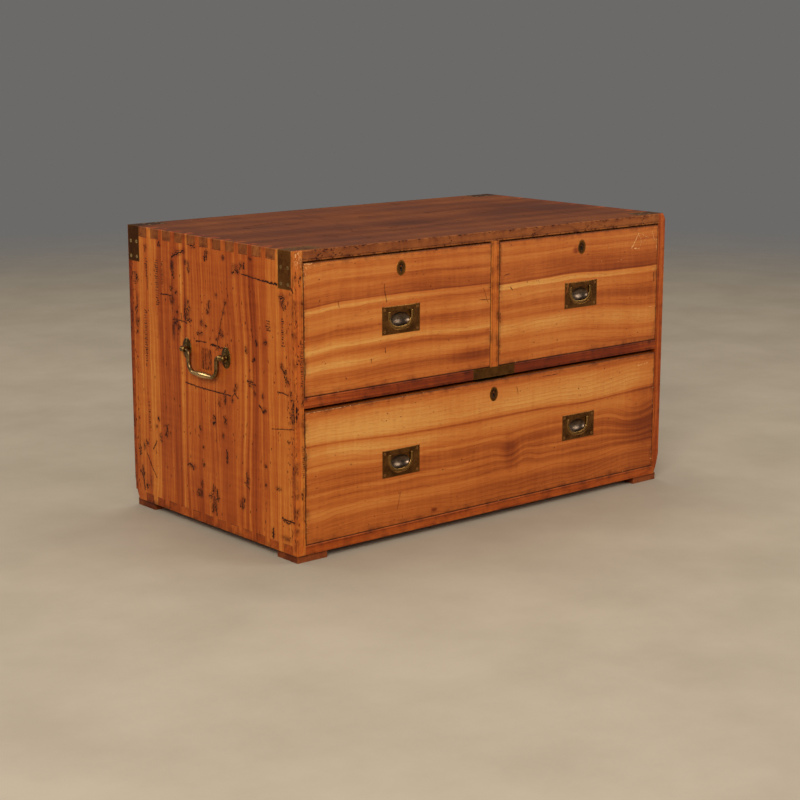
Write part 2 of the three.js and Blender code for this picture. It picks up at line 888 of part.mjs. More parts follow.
// The bail is thin in its barrels, thicker in its arms and swells to a grip in the middle
function barRadius(fromMiddle) {
  const pinStart = barArmSpacing / 2 + barShoulderRadius;
  const shoulderShare = Math.min(1, Math.max(0, (pinStart - fromMiddle) / barShoulderRadius));
  const round = barPinRadius + (barArmRadius - barPinRadius) * shoulderShare;
  const swell = fromMiddle < gripLength / 2 ? Math.cos((Math.PI * fromMiddle) / gripLength) ** 2 : 0;
  return round + (barGripRadius - barArmRadius) * swell;
}

function barRing(x, point, along) {
  const radius = barRadius(Math.abs(point.x));
  return Array.from({ length: barSides }, (_, turn) => {
    const angle = (2 * Math.PI * turn) / barSides;
    const across = radius * Math.cos(angle);
    const y = point.x - along.y * across + handleSetBack;
    const z = point.y + along.x * across + handleHeight;
    return [x + radius * Math.sin(angle), y, z];
  });
}

function carryBail(side) {
  const x = side * (halfWidth + barStandOff);
  const stretches = barStretches();
  const start = stretches[0].curve;
  const finish = stretches[stretches.length - 1].curve;
  const rings = [barRing(x, start.getPoint(0), start.getTangent(0))];
  for (const { curve, steps } of stretches) {
    for (let step = 1; step <= steps; step += 1) {
      rings.push(barRing(x, curve.getPoint(step / steps), curve.getTangent(step / steps)));
    }
  }
  const middles = [start.getPoint(0), finish.getPoint(1)];
  const ends = middles.map((point) => [x, point.x + handleSetBack, point.y + handleHeight]);
  const geometry = new THREE.BufferGeometry();
  geometry.setAttribute('position', new THREE.Float32BufferAttribute([...rings.flat(2), ...ends.flat()], 3));
  geometry.setIndex(tubeFaces(rings.length - 1, barSides));
  return solid(geometry);
}

// Triangles of a closed tube whose rings are followed by the middles of its first and last ring
function tubeFaces(steps, sides) {
  const faces = [];
  const firstMiddle = (steps + 1) * sides;
  for (let turn = 0; turn < sides; turn += 1) {
    const next = (turn + 1) % sides;
    faces.push(firstMiddle, next, turn);
    faces.push(firstMiddle + 1, steps * sides + turn, steps * sides + next);
    for (let step = 0; step < steps; step += 1) {
      const here = step * sides;
      const ahead = here + sides;
      faces.push(here + turn, ahead + next, ahead + turn);
      faces.push(here + turn, here + next, ahead + next);
    }
  }
  return faces;
}

// Assembly
const chest = new THREE.Group();

function addCarcass() {
  chest.add(
    piece('top_board', 'camphorTop', topBoard()),
    piece('bottom_board', 'camphor', bottomBoard()),
    piece('left_side', 'camphor', caseSide(-1)),
    piece('right_side', 'camphor', caseSide(1)),
    piece('back_board_lower', 'camphor', backBoard([floor - rebateWidth + fit, backMiddle - backBoardGap / 2])),
    piece('back_board_upper', 'camphor', backBoard([backMiddle + backBoardGap / 2, ceiling + rebateWidth - fit])),
    piece('middle_rail', 'camphor', middleRail()),
    piece('dust_board', 'camphorInside', dustBoard()),
    piece('centre_divider', 'camphor', centreDivider()),
    piece('drawer_guide', 'camphorInside', drawerGuide()),
    piece('left_drawer_stop', 'camphorInside', drawerStop(-shortCentre, railTop)),
    piece('right_drawer_stop', 'camphorInside', drawerStop(shortCentre, railTop)),
    piece('long_drawer_stop', 'camphorInside', drawerStop(0, floor)),
    piece('rail_strap', 'agedBrass', railStrap()),
  );
}

const sideNames = { '-1': 'left', 1: 'right' };
const endNames = { '-1': 'front', 1: 'back' };

function addCorners() {
  for (const side of [-1, 1]) {
    for (const end of [-1, 1]) {
      const place = `${endNames[end]}_${sideNames[side]}`;
      chest.add(piece(`${place}_foot`, 'camphor', foot(side, end)));
      chest.add(piece(`${place}_corner_strap`, 'agedBrass', strapBody(side, end, 0)));
      chest.add(piece(`${place}_handle_rose`, 'agedBrass', carryRose(side, end)));
    }
    chest.add(piece(`${sideNames[side]}_carrying_handle`, 'agedBrass', carryBail(side)));
  }
}

function addDrawer(name, plan, handles) {
  const plateZ = plateHeightOn(plan);
  const group = new THREE.Group();
  group.add(
    piece(`${name}_front`, 'camphorDrawer', drawerFront(plan, handles.map((handle) => handle.x))),
    piece(`${name}_left_side`, 'camphorInside', drawerSide(plan, -1)),
    piece(`${name}_right_side`, 'camphorInside', drawerSide(plan, 1)),
    piece(`${name}_back`, 'camphorInside', drawerBack(plan)),
    piece(`${name}_bottom`, 'camphorInside', drawerPanel(plan)),
    piece(`${name}_escutcheon`, 'agedBrass', escutcheon(plan.centre, plan.frontTop - escutcheonDrop)),
    piece(`${name}_lock_case`, 'lockBrass', lockCase(plan.centre, plan.frontTop)),
    piece(`${name}_lock_bolt`, 'lockBrass', lockBolt(plan.centre, plan.frontTop)),
  );
  for (const handle of handles) {
    group.add(piece(`${handle.name}_handle_plate`, 'agedBrass', handlePlate(handle.x, plateZ)));
    group.add(piece(`${handle.name}_handle_bail`, 'agedBrass', flushBail(handle.x, plateZ)));
  }
  chest.add(group);
}

const shortPlan = (side) => drawerPlan(side * shortCentre, shortOpeningWidth, railTop, ceiling, shortTopGap);
const longPlan = drawerPlan(0, 2 * innerHalfWidth, floor, railBottom, longTopGap);

addCarcass();
addCorners();
addDrawer('left_drawer', shortPlan(-1), [{ name: 'upper_left', x: -shortCentre }]);
addDrawer('right_drawer', shortPlan(1), [{ name: 'upper_right', x: shortCentre }]);
addDrawer('long_drawer', longPlan, [
  { name: 'lower_left', x: -shortCentre },
  { name: 'lower_right', x: shortCentre },
]);

export default chest;
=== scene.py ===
# A campaign chest of camphor wood with flush brass mounts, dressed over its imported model.
import math
import random

import bmesh
import bpy
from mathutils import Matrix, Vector


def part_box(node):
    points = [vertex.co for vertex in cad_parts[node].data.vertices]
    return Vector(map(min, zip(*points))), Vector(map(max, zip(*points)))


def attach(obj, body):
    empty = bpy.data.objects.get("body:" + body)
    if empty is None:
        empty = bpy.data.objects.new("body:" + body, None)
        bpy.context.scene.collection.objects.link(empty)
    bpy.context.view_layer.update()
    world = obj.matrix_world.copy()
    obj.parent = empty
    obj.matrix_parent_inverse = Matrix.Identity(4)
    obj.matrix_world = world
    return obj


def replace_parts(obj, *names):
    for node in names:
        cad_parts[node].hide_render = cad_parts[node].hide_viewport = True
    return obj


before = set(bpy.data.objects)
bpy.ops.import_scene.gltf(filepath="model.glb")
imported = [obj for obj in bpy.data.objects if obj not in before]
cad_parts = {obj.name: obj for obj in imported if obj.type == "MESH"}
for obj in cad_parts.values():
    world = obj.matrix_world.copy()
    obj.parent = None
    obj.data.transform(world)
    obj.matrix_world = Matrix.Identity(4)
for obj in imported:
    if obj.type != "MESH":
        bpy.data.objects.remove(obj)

scene = bpy.context.scene
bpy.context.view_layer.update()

# The camera stands 40 degrees to the left of the chest's front and a little above its top, and looks
# through a long lens, as in the photograph.
lens = bpy.data.cameras.new("camera")
lens.lens = 81.2
lens.sensor_width = 36
camera = bpy.data.objects.new("camera", lens)
camera.location = (-2.296, -2.721, 0.951)
camera.rotation_euler = (math.radians(77.93), 0, math.radians(-40.04))
scene.collection.objects.link(camera)
scene.camera = camera
scene.view_settings.view_transform = "Standard"


# The studio floor is power-floated concrete under matt sealer: pale, warm grey, with faint trowel clouds.
# Far from the chest it melts into a plain grey backdrop, which only the camera and glossy surfaces see.
def linear(colour):
    """A colour written in six hex figures, turned to linear light."""
    parts = [int(colour[place:place + 2], 16) / 255 for place in (1, 3, 5)]
    return (*[part / 12.92 if part <= 0.04045 else ((part + 0.055) / 1.055) ** 2.4 for part in parts], 1)


def add_node(tree, kind, *links, stops=None, **settings):
    """Adds a node with its settings. The links, each a node, one of its sockets or a constant, go to its
    inputs in order; a dictionary holds those for inputs with a given name or number."""
    node = tree.nodes.new("ShaderNode" + kind)
    for setting, value in settings.items():
        setattr(node, setting, value)
    places = {}
    for place, link in enumerate(links):
        places.update(link if isinstance(link, dict) else {place: link})
    for place, value in places.items():
        if isinstance(value, bpy.types.Node):
            value = value.outputs[0]
        if isinstance(value, bpy.types.NodeSocket):
            tree.links.new(value, node.inputs[place])
        else:
            node.inputs[place].default_value = value
    for index, (position, colour) in enumerate(stops or []):
        if index >= len(node.color_ramp.elements):
            node.color_ramp.elements.new(1)
        node.color_ramp.elements[index].position = position
        node.color_ramp.elements[index].color = colour
    return node


def new_material(name):
    """Gives an empty material, its node tree and the place on its piece."""
    material = bpy.data.materials.new(name)
    material.use_nodes = True
    material.node_tree.nodes.clear()
    return material, material.node_tree, add_node(material.node_tree, "TexCoord").outputs["Object"]


# Trowel clouds are about 250 mm wide
floor_material, tree, place = new_material("concrete_floor")
clouds = add_node(tree, "TexNoise", {"Vector": place, "Scale": 4, "Detail": 6, "Roughness": 0.6})
pale = add_node(tree, "ValToRGB", clouds, stops=[(0.35, linear("#a09583")), (0.65, linear("#a99e8c"))])
sealed = add_node(tree, "BsdfPrincipled", {"Base Color": pale, "Roughness": 0.7, "Specular IOR Level": 0.3})
from_chest = add_node(tree, "VectorMath", place, operation="LENGTH").outputs["Value"]
far_share = add_node(tree, "MapRange", from_chest, 2.2, 5.5, interpolation_type="SMOOTHERSTEP")
beyond = add_node(tree, "BsdfTransparent")
melting = add_node(tree, "MixShader", far_share, sealed, beyond)
add_node(tree, "OutputMaterial", melting)

floor_reach = 12
ground = bmesh.new()
corners = ((-1, -1), (1, -1), (1, 1), (-1, 1))
ground.faces.new([ground.verts.new((floor_reach * right, floor_reach * back, 0)) for right, back in corners])
floor_mesh = bpy.data.meshes.new("studio_floor")
ground.to_mesh(floor_mesh)
ground.free()
floor_mesh.materials.append(floor_material)
studio_floor = bpy.data.objects.new("studio_floor", floor_mesh)
scene.collection.objects.link(studio_floor)

backdrop_grey = "#6b6a69"
studio_light = "#fff8ef"
studio_strength = 0.4
world = bpy.data.worlds.new("studio")
world.use_nodes = True
scene.world = world
tree = world.node_tree
tree.nodes.clear()
ray = add_node(tree, "LightPath")
seen = add_node(tree, "Math", ray.outputs["Is Camera Ray"], ray.outputs["Is Glossy Ray"])
seen = add_node(tree, "Math", seen, ray.outputs["Is Transmission Ray"], use_clamp=True)
glow = add_node(tree, "Background", {"Color": linear(studio_light), "Strength": studio_strength})
paper = add_node(tree, "Background", {"Color": linear(backdrop_grey), "Strength": 1})
either = add_node(tree, "MixShader", seen, glow, paper)
add_node(tree, "OutputWorld", either)

# Place, size and strength of each soft lamp: the main one on the left, weaker ones on the right and high
# up, and one behind on the left that gives the brass its highlights
aim = Vector((0, 0, 0.3))
lamps = {
    "main_lamp": ((-3.1, -2.8, 2.5), 2.0, 160),
    "right_lamp": ((2.4, -3.0, 1.8), 2.0, 66),
    "rear_lamp": ((-2.3, 2.5, 1.9), 1.4, 24),
    "high_lamp": ((0.3, 0.7, 3.4), 1.4, 34),
}
for lamp_name, (stand, breadth, strength) in lamps.items():
    light = bpy.data.lights.new(lamp_name, "AREA")
    light.shape = "SQUARE"
    light.size = breadth
    light.energy = strength
    light.color = linear(studio_light)[:3]
    lamp = bpy.data.objects.new(lamp_name, light)
    lamp.location = stand
    lamp.rotation_euler = (aim - Vector(stand)).to_track_quat("-Z", "Y").to_euler()
    scene.collection.objects.link(lamp)


# The case sides are single boards of camphor wood with the grain upright, their ends cut into pins that
# the top and bottom grip. Planed, oiled and waxed for a century: orange and gold stripes, darker at the
# arrises, under a low sheen.
mm = 0.001
x_axis, y_axis, z_axis = 0, 1, 2


def arris_distance(tree, place, low, high):
    """Distance to a board's nearest arris: the smallest but one of the distances to its six faces."""
    inward = add_node(tree, "VectorMath", place, (low + high) / 2, operation="SUBTRACT")
    inward = add_node(tree, "VectorMath", inward, operation="ABSOLUTE")
    inward = add_node(tree, "VectorMath", (high - low) / 2, inward, operation="SUBTRACT")
    gap = add_node(tree, "SeparateXYZ", inward).outputs
    nearer = add_node(tree, "Math", gap[0], gap[1], operation="MINIMUM")
    farther = add_node(tree, "Math", gap[0], gap[1], operation="MAXIMUM")
    farther = add_node(tree, "Math", farther, gap[2], operation="MINIMUM")
    return add_node(tree, "Math", nearer, farther, operation="MAXIMUM")


def finish_with(node, material):
    """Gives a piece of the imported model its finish, all over."""
    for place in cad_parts[node].material_slots:
        place.material = material


def camphor(name, node, along, across, figure, tones, *, seed=0, sway=3.0, ring=9.0, fade=0.0, slant=0.7,
            swirls=(), stains=(), face_shade=(z_axis, 0.0), end_shade=-0.25, roughness=(0.36, 0.5),
            gleam=0.14, rub=0.12, grime=0.3, streaky=0.34, packed_dirt_and_shade=0.0):
    """Finishes a board with camphor wood, planed and waxed. figure gives the stripes across it, from 0 dark
    to 1 gold; swirls bend the grain and stains tint it, each at a place with a half length, half breadth
    and amount."""
    low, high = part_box(node)
    through = 3 - along - across
    face = low[through] if abs(low[through]) > abs(high[through]) else high[through]
    offset = Vector((1.7, 2.9, 4.3)) * (seed + 1)
    material, tree, place = new_material(name)
    split = add_node(tree, "SeparateXYZ", place).outputs

    def drawn_out(start, length, breadth, detail, roughness=0.5):
        """An uneven pattern with a length along the grain and a breadth across it, in mm."""
        scale = [1 / (breadth * mm)] * 3
        scale[along] = 1 / (length * mm)
        drawn = add_node(tree, "VectorMath", start, scale, offset, operation="MULTIPLY_ADD")
        pattern = {"Vector": drawn, "Scale": 1, "Detail": detail, "Roughness": roughness}
        return add_node(tree, "TexNoise", pattern)

    def patch(spot, amount):
        """A soft oval patch with the amount in its middle."""
        run, rise, half_length, half_breadth = [size * mm for size in spot]
        scale = [0.0, 0.0, 0.0]
        shift = [0.0, 0.0, 0.0]
        scale[along], scale[across] = 1 / half_length, 1 / half_breadth
        shift[along], shift[across] = -run / half_length, -rise / half_breadth
        nearness = add_node(tree, "VectorMath", place, scale, shift, operation="MULTIPLY_ADD")
        bump = add_node(tree, "TexGradient", nearness, gradient_type="SPHERICAL")
        return add_node(tree, "MapRange", bump.outputs["Fac"], {4: amount}, interpolation_type="SMOOTHERSTEP")

    # The grain sways a few millimetres over each hand's breadth, and bends round each swirl
    waver = drawn_out(place, 230, 120, 3, 0.45)
    rise = add_node(tree, "Math", waver, 4 * sway * mm, split[across], operation="MULTIPLY_ADD")
    rise = add_node(tree, "Math", rise, 2 * sway * mm, operation="SUBTRACT")
    for *spot, lift in swirls:
        rise = add_node(tree, "Math", rise, patch(spot, lift * mm))
    grain = add_node(tree, "CombineXYZ", {along: split[along], across: rise, through: split[through]})

    # Broad stripes of the figure, which carry on round the arrises at a slant
    depth = add_node(tree, "Math", split[through], face, operation="SUBTRACT")
    slanted = add_node(tree, "Math", depth, slant, rise, operation="MULTIPLY_ADD")
    share = add_node(tree, "MapRange", slanted, low[across], high[across])
    stripes = [(position, (tone, tone, tone, 1)) for position, tone in figure]
    tone = add_node(tree, "ValToRGB", share, stops=stripes)
    tone.color_ramp.interpolation = "EASE"

    # Growth rings: each darkens slowly across its width and ends in a sharp line
    drift = add_node(tree, "Math", waver, 4.0, operation="MULTIPLY")
    phase = add_node(tree, "Math", slanted, 1 / (ring * mm), drift, operation="MULTIPLY_ADD")
    ring_share = add_node(tree, "Math", phase, operation="FRACT")
    late_wood = add_node(tree, "Math", ring_share, 5.0, operation="POWER")

    # Streaks 9 mm wide and 520 mm long, fine ones 1.5 mm wide and 120 mm long, clouds a palm wide, and a
    # faint curl that ripples across the grain every 7 mm
    streaks = drawn_out(grain, 520, 9, 4, 0.6)
    lines = drawn_out(grain, 120, 1.5, 2)
    clouds = drawn_out(place, 130, 90, 3, 0.55)
    curl = drawn_out(place, 7, 60, 3)
    late_share = add_node(tree, "MapRange", streaks, 0.4, 0.62, -0.04, -0.24)
    tone = add_node(tree, "Math", late_wood, late_share, tone, operation="MULTIPLY_ADD")
    for pattern, weight in ((streaks, streaky), (lines, 0.6 * streaky), (clouds, 0.36), (curl, 0.2)):
        tone = add_node(tree, "Math", pattern, weight, tone, operation="MULTIPLY_ADD")
    tone = add_node(tree, "Math", tone, 0.25 + 0.8 * streaky, operation="SUBTRACT")
    middle = (low[along] + high[along]) / 2
    end_fade = fade / (high[along] - low[along])
    from_middle = add_node(tree, "Math", split[along], middle, operation="SUBTRACT")
    tone = add_node(tree, "Math", from_middle, end_fade, tone, operation="MULTIPLY_ADD")
    for *spot, amount in stains:
        tone = add_node(tree, "Math", tone, patch(spot, amount))

    # End grain drinks the oil and is darker; the named face is a shade darker or lighter than the rest
    outward = add_node(tree, "TexCoord").outputs["Normal"]
    outward = add_node(tree, "VectorMath", outward, operation="ABSOLUTE")
    facing = add_node(tree, "SeparateXYZ", outward).outputs
    end_grain = add_node(tree, "MapRange", facing[along], 0.6, 0.9, 0.0, end_shade)
    tone = add_node(tree, "Math", tone, end_grain)
    shaded_axis, shade = face_shade
    tone = add_node(tree, "Math", facing[shaded_axis], shade, tone, operation="MULTIPLY_ADD")

    # Hands rub the arrises lighter
    arris = arris_distance(tree, place, low, high)
    worn = add_node(tree, "MapRange", arris, {2: 2.5 * mm, 3: 1.0, 4: 0.0})
    handled = add_node(tree, "Math", worn, clouds, operation="MULTIPLY")
    tone = add_node(tree, "Math", handled, 2 * rub, tone, operation="MULTIPLY_ADD")
    colour = add_node(tree, "ValToRGB", tone, stops=[(position, linear(shade)) for position, shade in tones])

    # Pores are 0.1 mm wide and 2 mm long; they are drawn 0.8 by 14 mm to show, and thickest in late wood
    pores = add_node(tree, "MapRange", drawn_out(grain, 14, 0.8, 1), 0.6, 0.74, 0.0, 0.35)

    # Old wax and dust gather along the arrises in uneven patches 26 mm wide
    soot = add_node(tree, "MapRange", arris, {2: 14 * mm, 3: 1.0, 4: 0.0}, interpolation_type="SMOOTHSTEP")
    uneven = add_node(tree, "TexNoise", {"Vector": place, "Scale": 38, "Detail": 4, "Roughness": 0.65})
    uneven = add_node(tree, "MapRange", uneven, 0.45, 0.7, 0.0, grime)
    soot = add_node(tree, "Math", soot, uneven, operation="MULTIPLY")

    # Dirt packed in the gap round a drawer, and painted shade of that gap, blacken the arris beside it
    gap_dirt_and_shade = add_node(tree, "MapRange", arris, 0.5 * mm, 2.6 * mm, packed_dirt_and_shade, 0.0)

    # Knocks show as torn flecks 2 mm wide in a faint brown bruise, also along the arrises; where the skin of
    # scars below says less than none, they are pale scrapes
    scar = add_node(tree, "Attribute", attribute_name="dent")
    torn = drawn_out(place, 4.5, 2.2, 4, 0.65)
    bruise = add_node(tree, "Math", soot, 0.7, scar.outputs["Fac"], operation="MULTIPLY_ADD")
    halo = add_node(tree, "MapRange", bruise, {3: 0.0, 4: 0.72})
    fleck = add_node(tree, "Math", bruise, 0.45, torn, operation="MULTIPLY_ADD")
    fleck = add_node(tree, "MapRange", fleck, 0.66, 0.96, 0.0, 0.97)
    scrape = add_node(tree, "Math", scar.outputs["Fac"], -0.45, torn, operation="MULTIPLY_ADD")
    scrape = add_node(tree, "MapRange", scrape, 0.74, 0.88, 0.0, 0.7)
    for cover, shade in ((pores, "#4a1705"), (soot, "#3c1506"), (gap_dirt_and_shade, "#220b03"), (halo, "#581803"),
                         (fleck, "#1c0300"), (scrape, "#d9a56c")):
        mixed = add_node(tree, "Mix", cover, {6: colour, 7: linear(shade)}, data_type="RGBA")
        colour = mixed.outputs[2]

    # Relief in metres: the grain stands 0.05 mm, pores sink, and the arrises are rounded over 1.5 mm
    rounding = add_node(tree, "MapRange", arris, {2: 1.5 * mm, 3: 1.0, 4: 0.0})
    rounding = add_node(tree, "Math", rounding, 2.0, operation="POWER")
    relief = add_node(tree, "Math", rounding, -0.6 * mm, operation="MULTIPLY")
    for pattern, height in ((lines, 0.05), (streaks, 0.25), (pores, -0.08), (fleck, -0.25)):
        relief = add_node(tree, "Math", pattern, height * mm, relief, operation="MULTIPLY_ADD")
    surface = add_node(tree, "Bump", {"Height": relief, "Strength": 1, "Distance": 1})
    sheen = add_node(tree, "MapRange", clouds, 0.3, 0.7, roughness[0], roughness[1])
    waxed = {"Base Color": colour, "Roughness": sheen, "Normal": surface, "IOR": 1.5}
    waxed["Specular IOR Level"] = gleam
    add_node(tree, "OutputMaterial", add_node(tree, "BsdfPrincipled", waxed))
    finish_with(node, material)
    return material


case_tones = [(0.0, "#652204"), (0.28, "#87380d"), (0.52, "#a34e18"), (0.76, "#b66724"), (1.0, "#c68036")]
# Stripes of the left side, from its front edge to its back edge
left_figure = [
    (0.0, 0.6), (0.04, 0.66), (0.07, 0.66), (0.11, 0.56), (0.135, 0.68), (0.16, 0.46), (0.19, 0.55),
    (0.225, 0.34), (0.245, 0.32), (0.26, 0.58), (0.276, 0.4), (0.293, 0.6), (0.311, 0.42), (0.33, 0.58),
    (0.36, 0.42), (0.41, 0.52), (0.52, 0.52), (0.55, 0.4), (0.58, 0.54), (0.6, 0.42), (0.617, 0.66),
    (0.632, 0.3), (0.657, 0.7), (0.682, 0.36), (0.76, 0.42), (0.806, 0.38), (0.827, 0.68), (0.86, 0.74),
    (0.894, 0.46), (0.925, 0.66), (0.965, 0.5), (0.985, 0.2),
]
left_camphor = camphor(
    "waxed_camphor_left", "left_side", z_axis, y_axis, left_figure, case_tones, seed=1,
    swirls=[(300, -120, 240, 90, 9), (120, 60, 160, 60, -6)],
    stains=[(200, -20, 110, 70, -0.1), (467, 94, 60, 36, 0.2)],
    grime=0.7, streaky=0.95,
)
right_figure = [
    (0.0, 0.32), (0.03, 0.4), (0.06, 0.66), (0.1, 0.4), (0.16, 0.6), (0.22, 0.3), (0.27, 0.52),
    (0.33, 0.7), (0.37, 0.4), (0.45, 0.55), (0.52, 0.34), (0.58, 0.62), (0.63, 0.3), (0.7, 0.5),
    (0.76, 0.76), (0.82, 0.42), (0.9, 0.6), (1.0, 0.3),
]
right_camphor = camphor(
    "waxed_camphor_right", "right_side", z_axis, y_axis, right_figure, case_tones, seed=2,
    swirls=[(260, 40, 200, 80, -8), (420, -140, 140, 60, 6)], grime=0.5, streaky=0.95,
)


# The case's sizes in mm: its front and back lie at chest_back from the middle, its sides at side_face
case_depth = 532
case_height = 542
case_wood = 19
foot_height = 14
chest_top = foot_height + case_height
chest_back = case_depth / 2
side_face = 470
opening_half = side_face - case_wood


def new_shape(layer):
    """An empty mesh whose corners carry a number, as how hurt the wood is there or how worn the brass."""
    shape = bmesh.new()
    shape.verts.layers.float.new(layer)
    return shape


def add_corner(shape, layer, spot, amount):
    """A corner at a spot in metres, with its number."""
    vert = shape.verts.new(spot)
    vert[layer] = amount
    return vert


def join_rings(shape, rings):
    """Joins each ring of corners to the next, row by row; a ring of a single corner closes the form."""
    rows = []
    for outer, inner in zip(rings, rings[1:]):
        sides = max(len(outer), len(inner))
        row = []
        for side in range(sides):
            ahead = (side + 1) % sides
            quad = [outer[side % len(outer)], outer[ahead % len(outer)], inner[ahead % len(inner)],
                    inner[side % len(inner)]]
            row.append(shape.faces.new(list(dict.fromkeys(quad))))
        rows.append(row)
    return rows


def new_piece(name, shape, materials, body):
    """A piece of its own, smooth but for its arrises, that moves with a body of the chest. The faces of a
    skin of scars look away from the chest's middle."""
    mesh = bpy.data.meshes.new(name)
    bmesh.ops.recalc_face_normals(shape, faces=shape.faces)
    if shape.verts.layers.float.get("dent"):
        middle = Vector((0, 0, chest_top / 2)) * mm
        for face in shape.faces:
            if face.normal.dot(face.calc_center_median() - middle) < 0:
                face.normal_flip()
    shape.to_mesh(mesh)
    shape.free()
    for material in materials:
        mesh.materials.append(material)
    mesh.polygons.foreach_set("use_smooth", [True] * len(mesh.polygons))
    mesh.set_sharp_from_angle(angle=math.radians(38))
    piece = bpy.data.objects.new(name, mesh)
    scene.collection.objects.link(piece)
    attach(piece, body)
    return piece


# Knocks, scratches and chafing of a century's travel, dark with old wax. They are a skin on the board's
# face that says how hurt the wood is. Marks lie over the skin, each a hair higher than the one before, so
# that no two share a plane.
skin = 0.12
dent_rise = 0.06
scratch_rise = 0.12
mark_step = 0.00001
mark_steps = 4000
arris_gap = 0.3
chance = random.Random(7)
between = chance.uniform
about = chance.gauss


def add_dent(shape, flat, across, up, wide, high, lean, depth, arms):
    """An uneven oval knock; flat turns a place on the face and a height over it, in mm, into a point."""
    layer = shape.verts.layers.float["dent"]
    lift = skin + dent_rise + mark_step * (len(shape.verts) % mark_steps)
    rings = []
    for out, share in ((0.0, 1.0), (0.4, 0.85), (0.75, 0.4), (1.0, 0.0)):
        ring = []
        for arm in range(1 if out == 0 else arms):
            angle = math.tau * arm / arms
            ragged = out * between(0.7, 1.2)
            spoke = complex(wide / 2 * ragged * math.cos(angle), high / 2 * ragged * math.sin(angle))
            spoke *= complex(math.cos(lean), math.sin(lean))
            spot = flat(across + spoke.real, up + spoke.imag, lift)
            ring.append(add_corner(shape, layer, spot, share * depth))
        rings.append(ring)
    join_rings(shape, rings)


def add_scratch(shape, flat, points, width, depth, step=3.0):
    """A scratch through the points, broken and uneven, thinning out at both ends."""
    layer = shape.verts.layers.float["dent"]
    lift = skin + scratch_rise + mark_step * (len(shape.verts) % mark_steps)
    for start, end in zip(points, points[1:]):
        length = math.dist(start, end)
        side = ((start[1] - end[1]) / length, (end[0] - start[0]) / length)
        steps = max(2, round(length / step))
        rows = []
        for place in range(steps + 1):
            share = place / steps
            wander = between(-0.35, 0.35) * width
            half = width * between(0.45, 1.0)
            row = []
            for edge, deep in ((-1, 0.0), (0, depth * between(0.6, 1.0)), (1, 0.0)):
                off = wander + edge * half
                right = start[0] + (end[0] - start[0]) * share + side[0] * off
                above = start[1] + (end[1] - start[1]) * share + side[1] * off
                row.append(add_corner(shape, layer, flat(right, above, lift), deep))
            rows.append(row)
        for before, after in zip(rows, rows[1:]):
            for edge in (0, 1):
                shape.faces.new((before[edge], before[edge + 1], after[edge + 1], after[edge]))


def within(place, low, high):
    """Keeps a place on its board: a mark that runs over an arris stops there."""
    return min(max(place, low + arris_gap), high - arris_gap)


def case_side(side):
    """Gives the function that puts a mark on a side of the case, from its back edge and from its top."""
    def on_side(from_back, from_top, lift):
        back = chest_back - within(from_back, 0, case_depth)
        above = chest_top - within(from_top, 0, case_height)
        return Vector((side * (side_face + lift), back, above)) * mm
    return on_side


on_left_side = case_side(-1)


# Knocks: distance from the back edge and from the top, width and height
left_dents = [
    (24, 160, 5, 20), (28, 100, 5, 16), (27, 186, 9, 16), (25, 205, 6, 6), (61, 38, 6, 12),
    (108, 28, 7, 7), (174, 36, 22, 6), (164, 42, 14, 4), (193, 33, 6, 6), (197, 52, 7, 7), (207, 66, 7, 8),
    (155, 78, 9, 16), (148, 106, 10, 7), (164, 112, 8, 6), (150, 128, 12, 12), (160, 166, 12, 9),
    (166, 150, 7, 6), (172, 178, 8, 12), (194, 148, 8, 20), (202, 132, 5, 14), (208, 139, 9, 8),
    (203, 158, 12, 8), (268, 28, 14, 4), (221, 21, 16, 4), (263, 36, 4, 12), (296, 103, 6, 5),
    (272, 126, 7, 16), (268, 137, 9, 6), (324, 113, 9, 5), (318, 132, 5, 5), (308, 164, 5, 6),
    (312, 174, 12, 7), (296, 183, 6, 6), (300, 200, 5, 5), (260, 164, 6, 4), (242, 180, 14, 5),
    (352, 55, 9, 6), (364, 52, 12, 6), (376, 40, 7, 11), (404, 26, 7, 4), (388, 190, 5, 10),
    (418, 174, 7, 9), (446, 169, 9, 6), (498, 83, 16, 7), (502, 99, 8, 8), (494, 205, 6, 8),
    (503, 214, 7, 9), (508, 228, 7, 12), (410, 205, 8, 7), (404, 252, 16, 5), (412, 266, 6, 8),
    (441, 292, 10, 7), (436, 268, 5, 9), (400, 248, 18, 5), (526, 288, 8, 18), (524, 286, 10, 8),
    (525, 292, 8, 6), (527, 276, 4, 10), (299, 300, 4, 12), (318, 290, 5, 20), (282, 338, 7, 16),
    (318, 334, 5, 14), (310, 362, 4, 8), (321, 398, 5, 12), (322, 408, 5, 6), (120, 390, 7, 18),
    (122, 379, 5, 8), (99, 404, 6, 12), (38, 430, 5, 14), (48, 424, 8, 8), (205, 439, 20, 5),
    (244, 428, 9, 5), (230, 482, 16, 10), (237, 470, 8, 16), (222, 488, 9, 7), (268, 486, 14, 10),
    (280, 498, 12, 22), (272, 508, 10, 12), (287, 480, 7, 16), (276, 470, 6, 10), (366, 478, 12, 10),
    (372, 470, 7, 7), (385, 428, 6, 26), (442, 394, 5, 5), (442, 428, 4, 8), (480, 428, 16, 4),
    (508, 482, 24, 4), (461, 512, 5, 14), (92, 368, 6, 5), (84, 383, 6, 5), (236, 360, 5, 9),
    (245, 395, 6, 5), (520, 250, 5, 8), (523, 262, 8, 5), (30, 486, 7, 26), (44, 508, 8, 14),
    (22, 440, 4, 18), (350, 272, 7, 7), (342, 290, 5, 6), (356, 262, 4, 8),
]
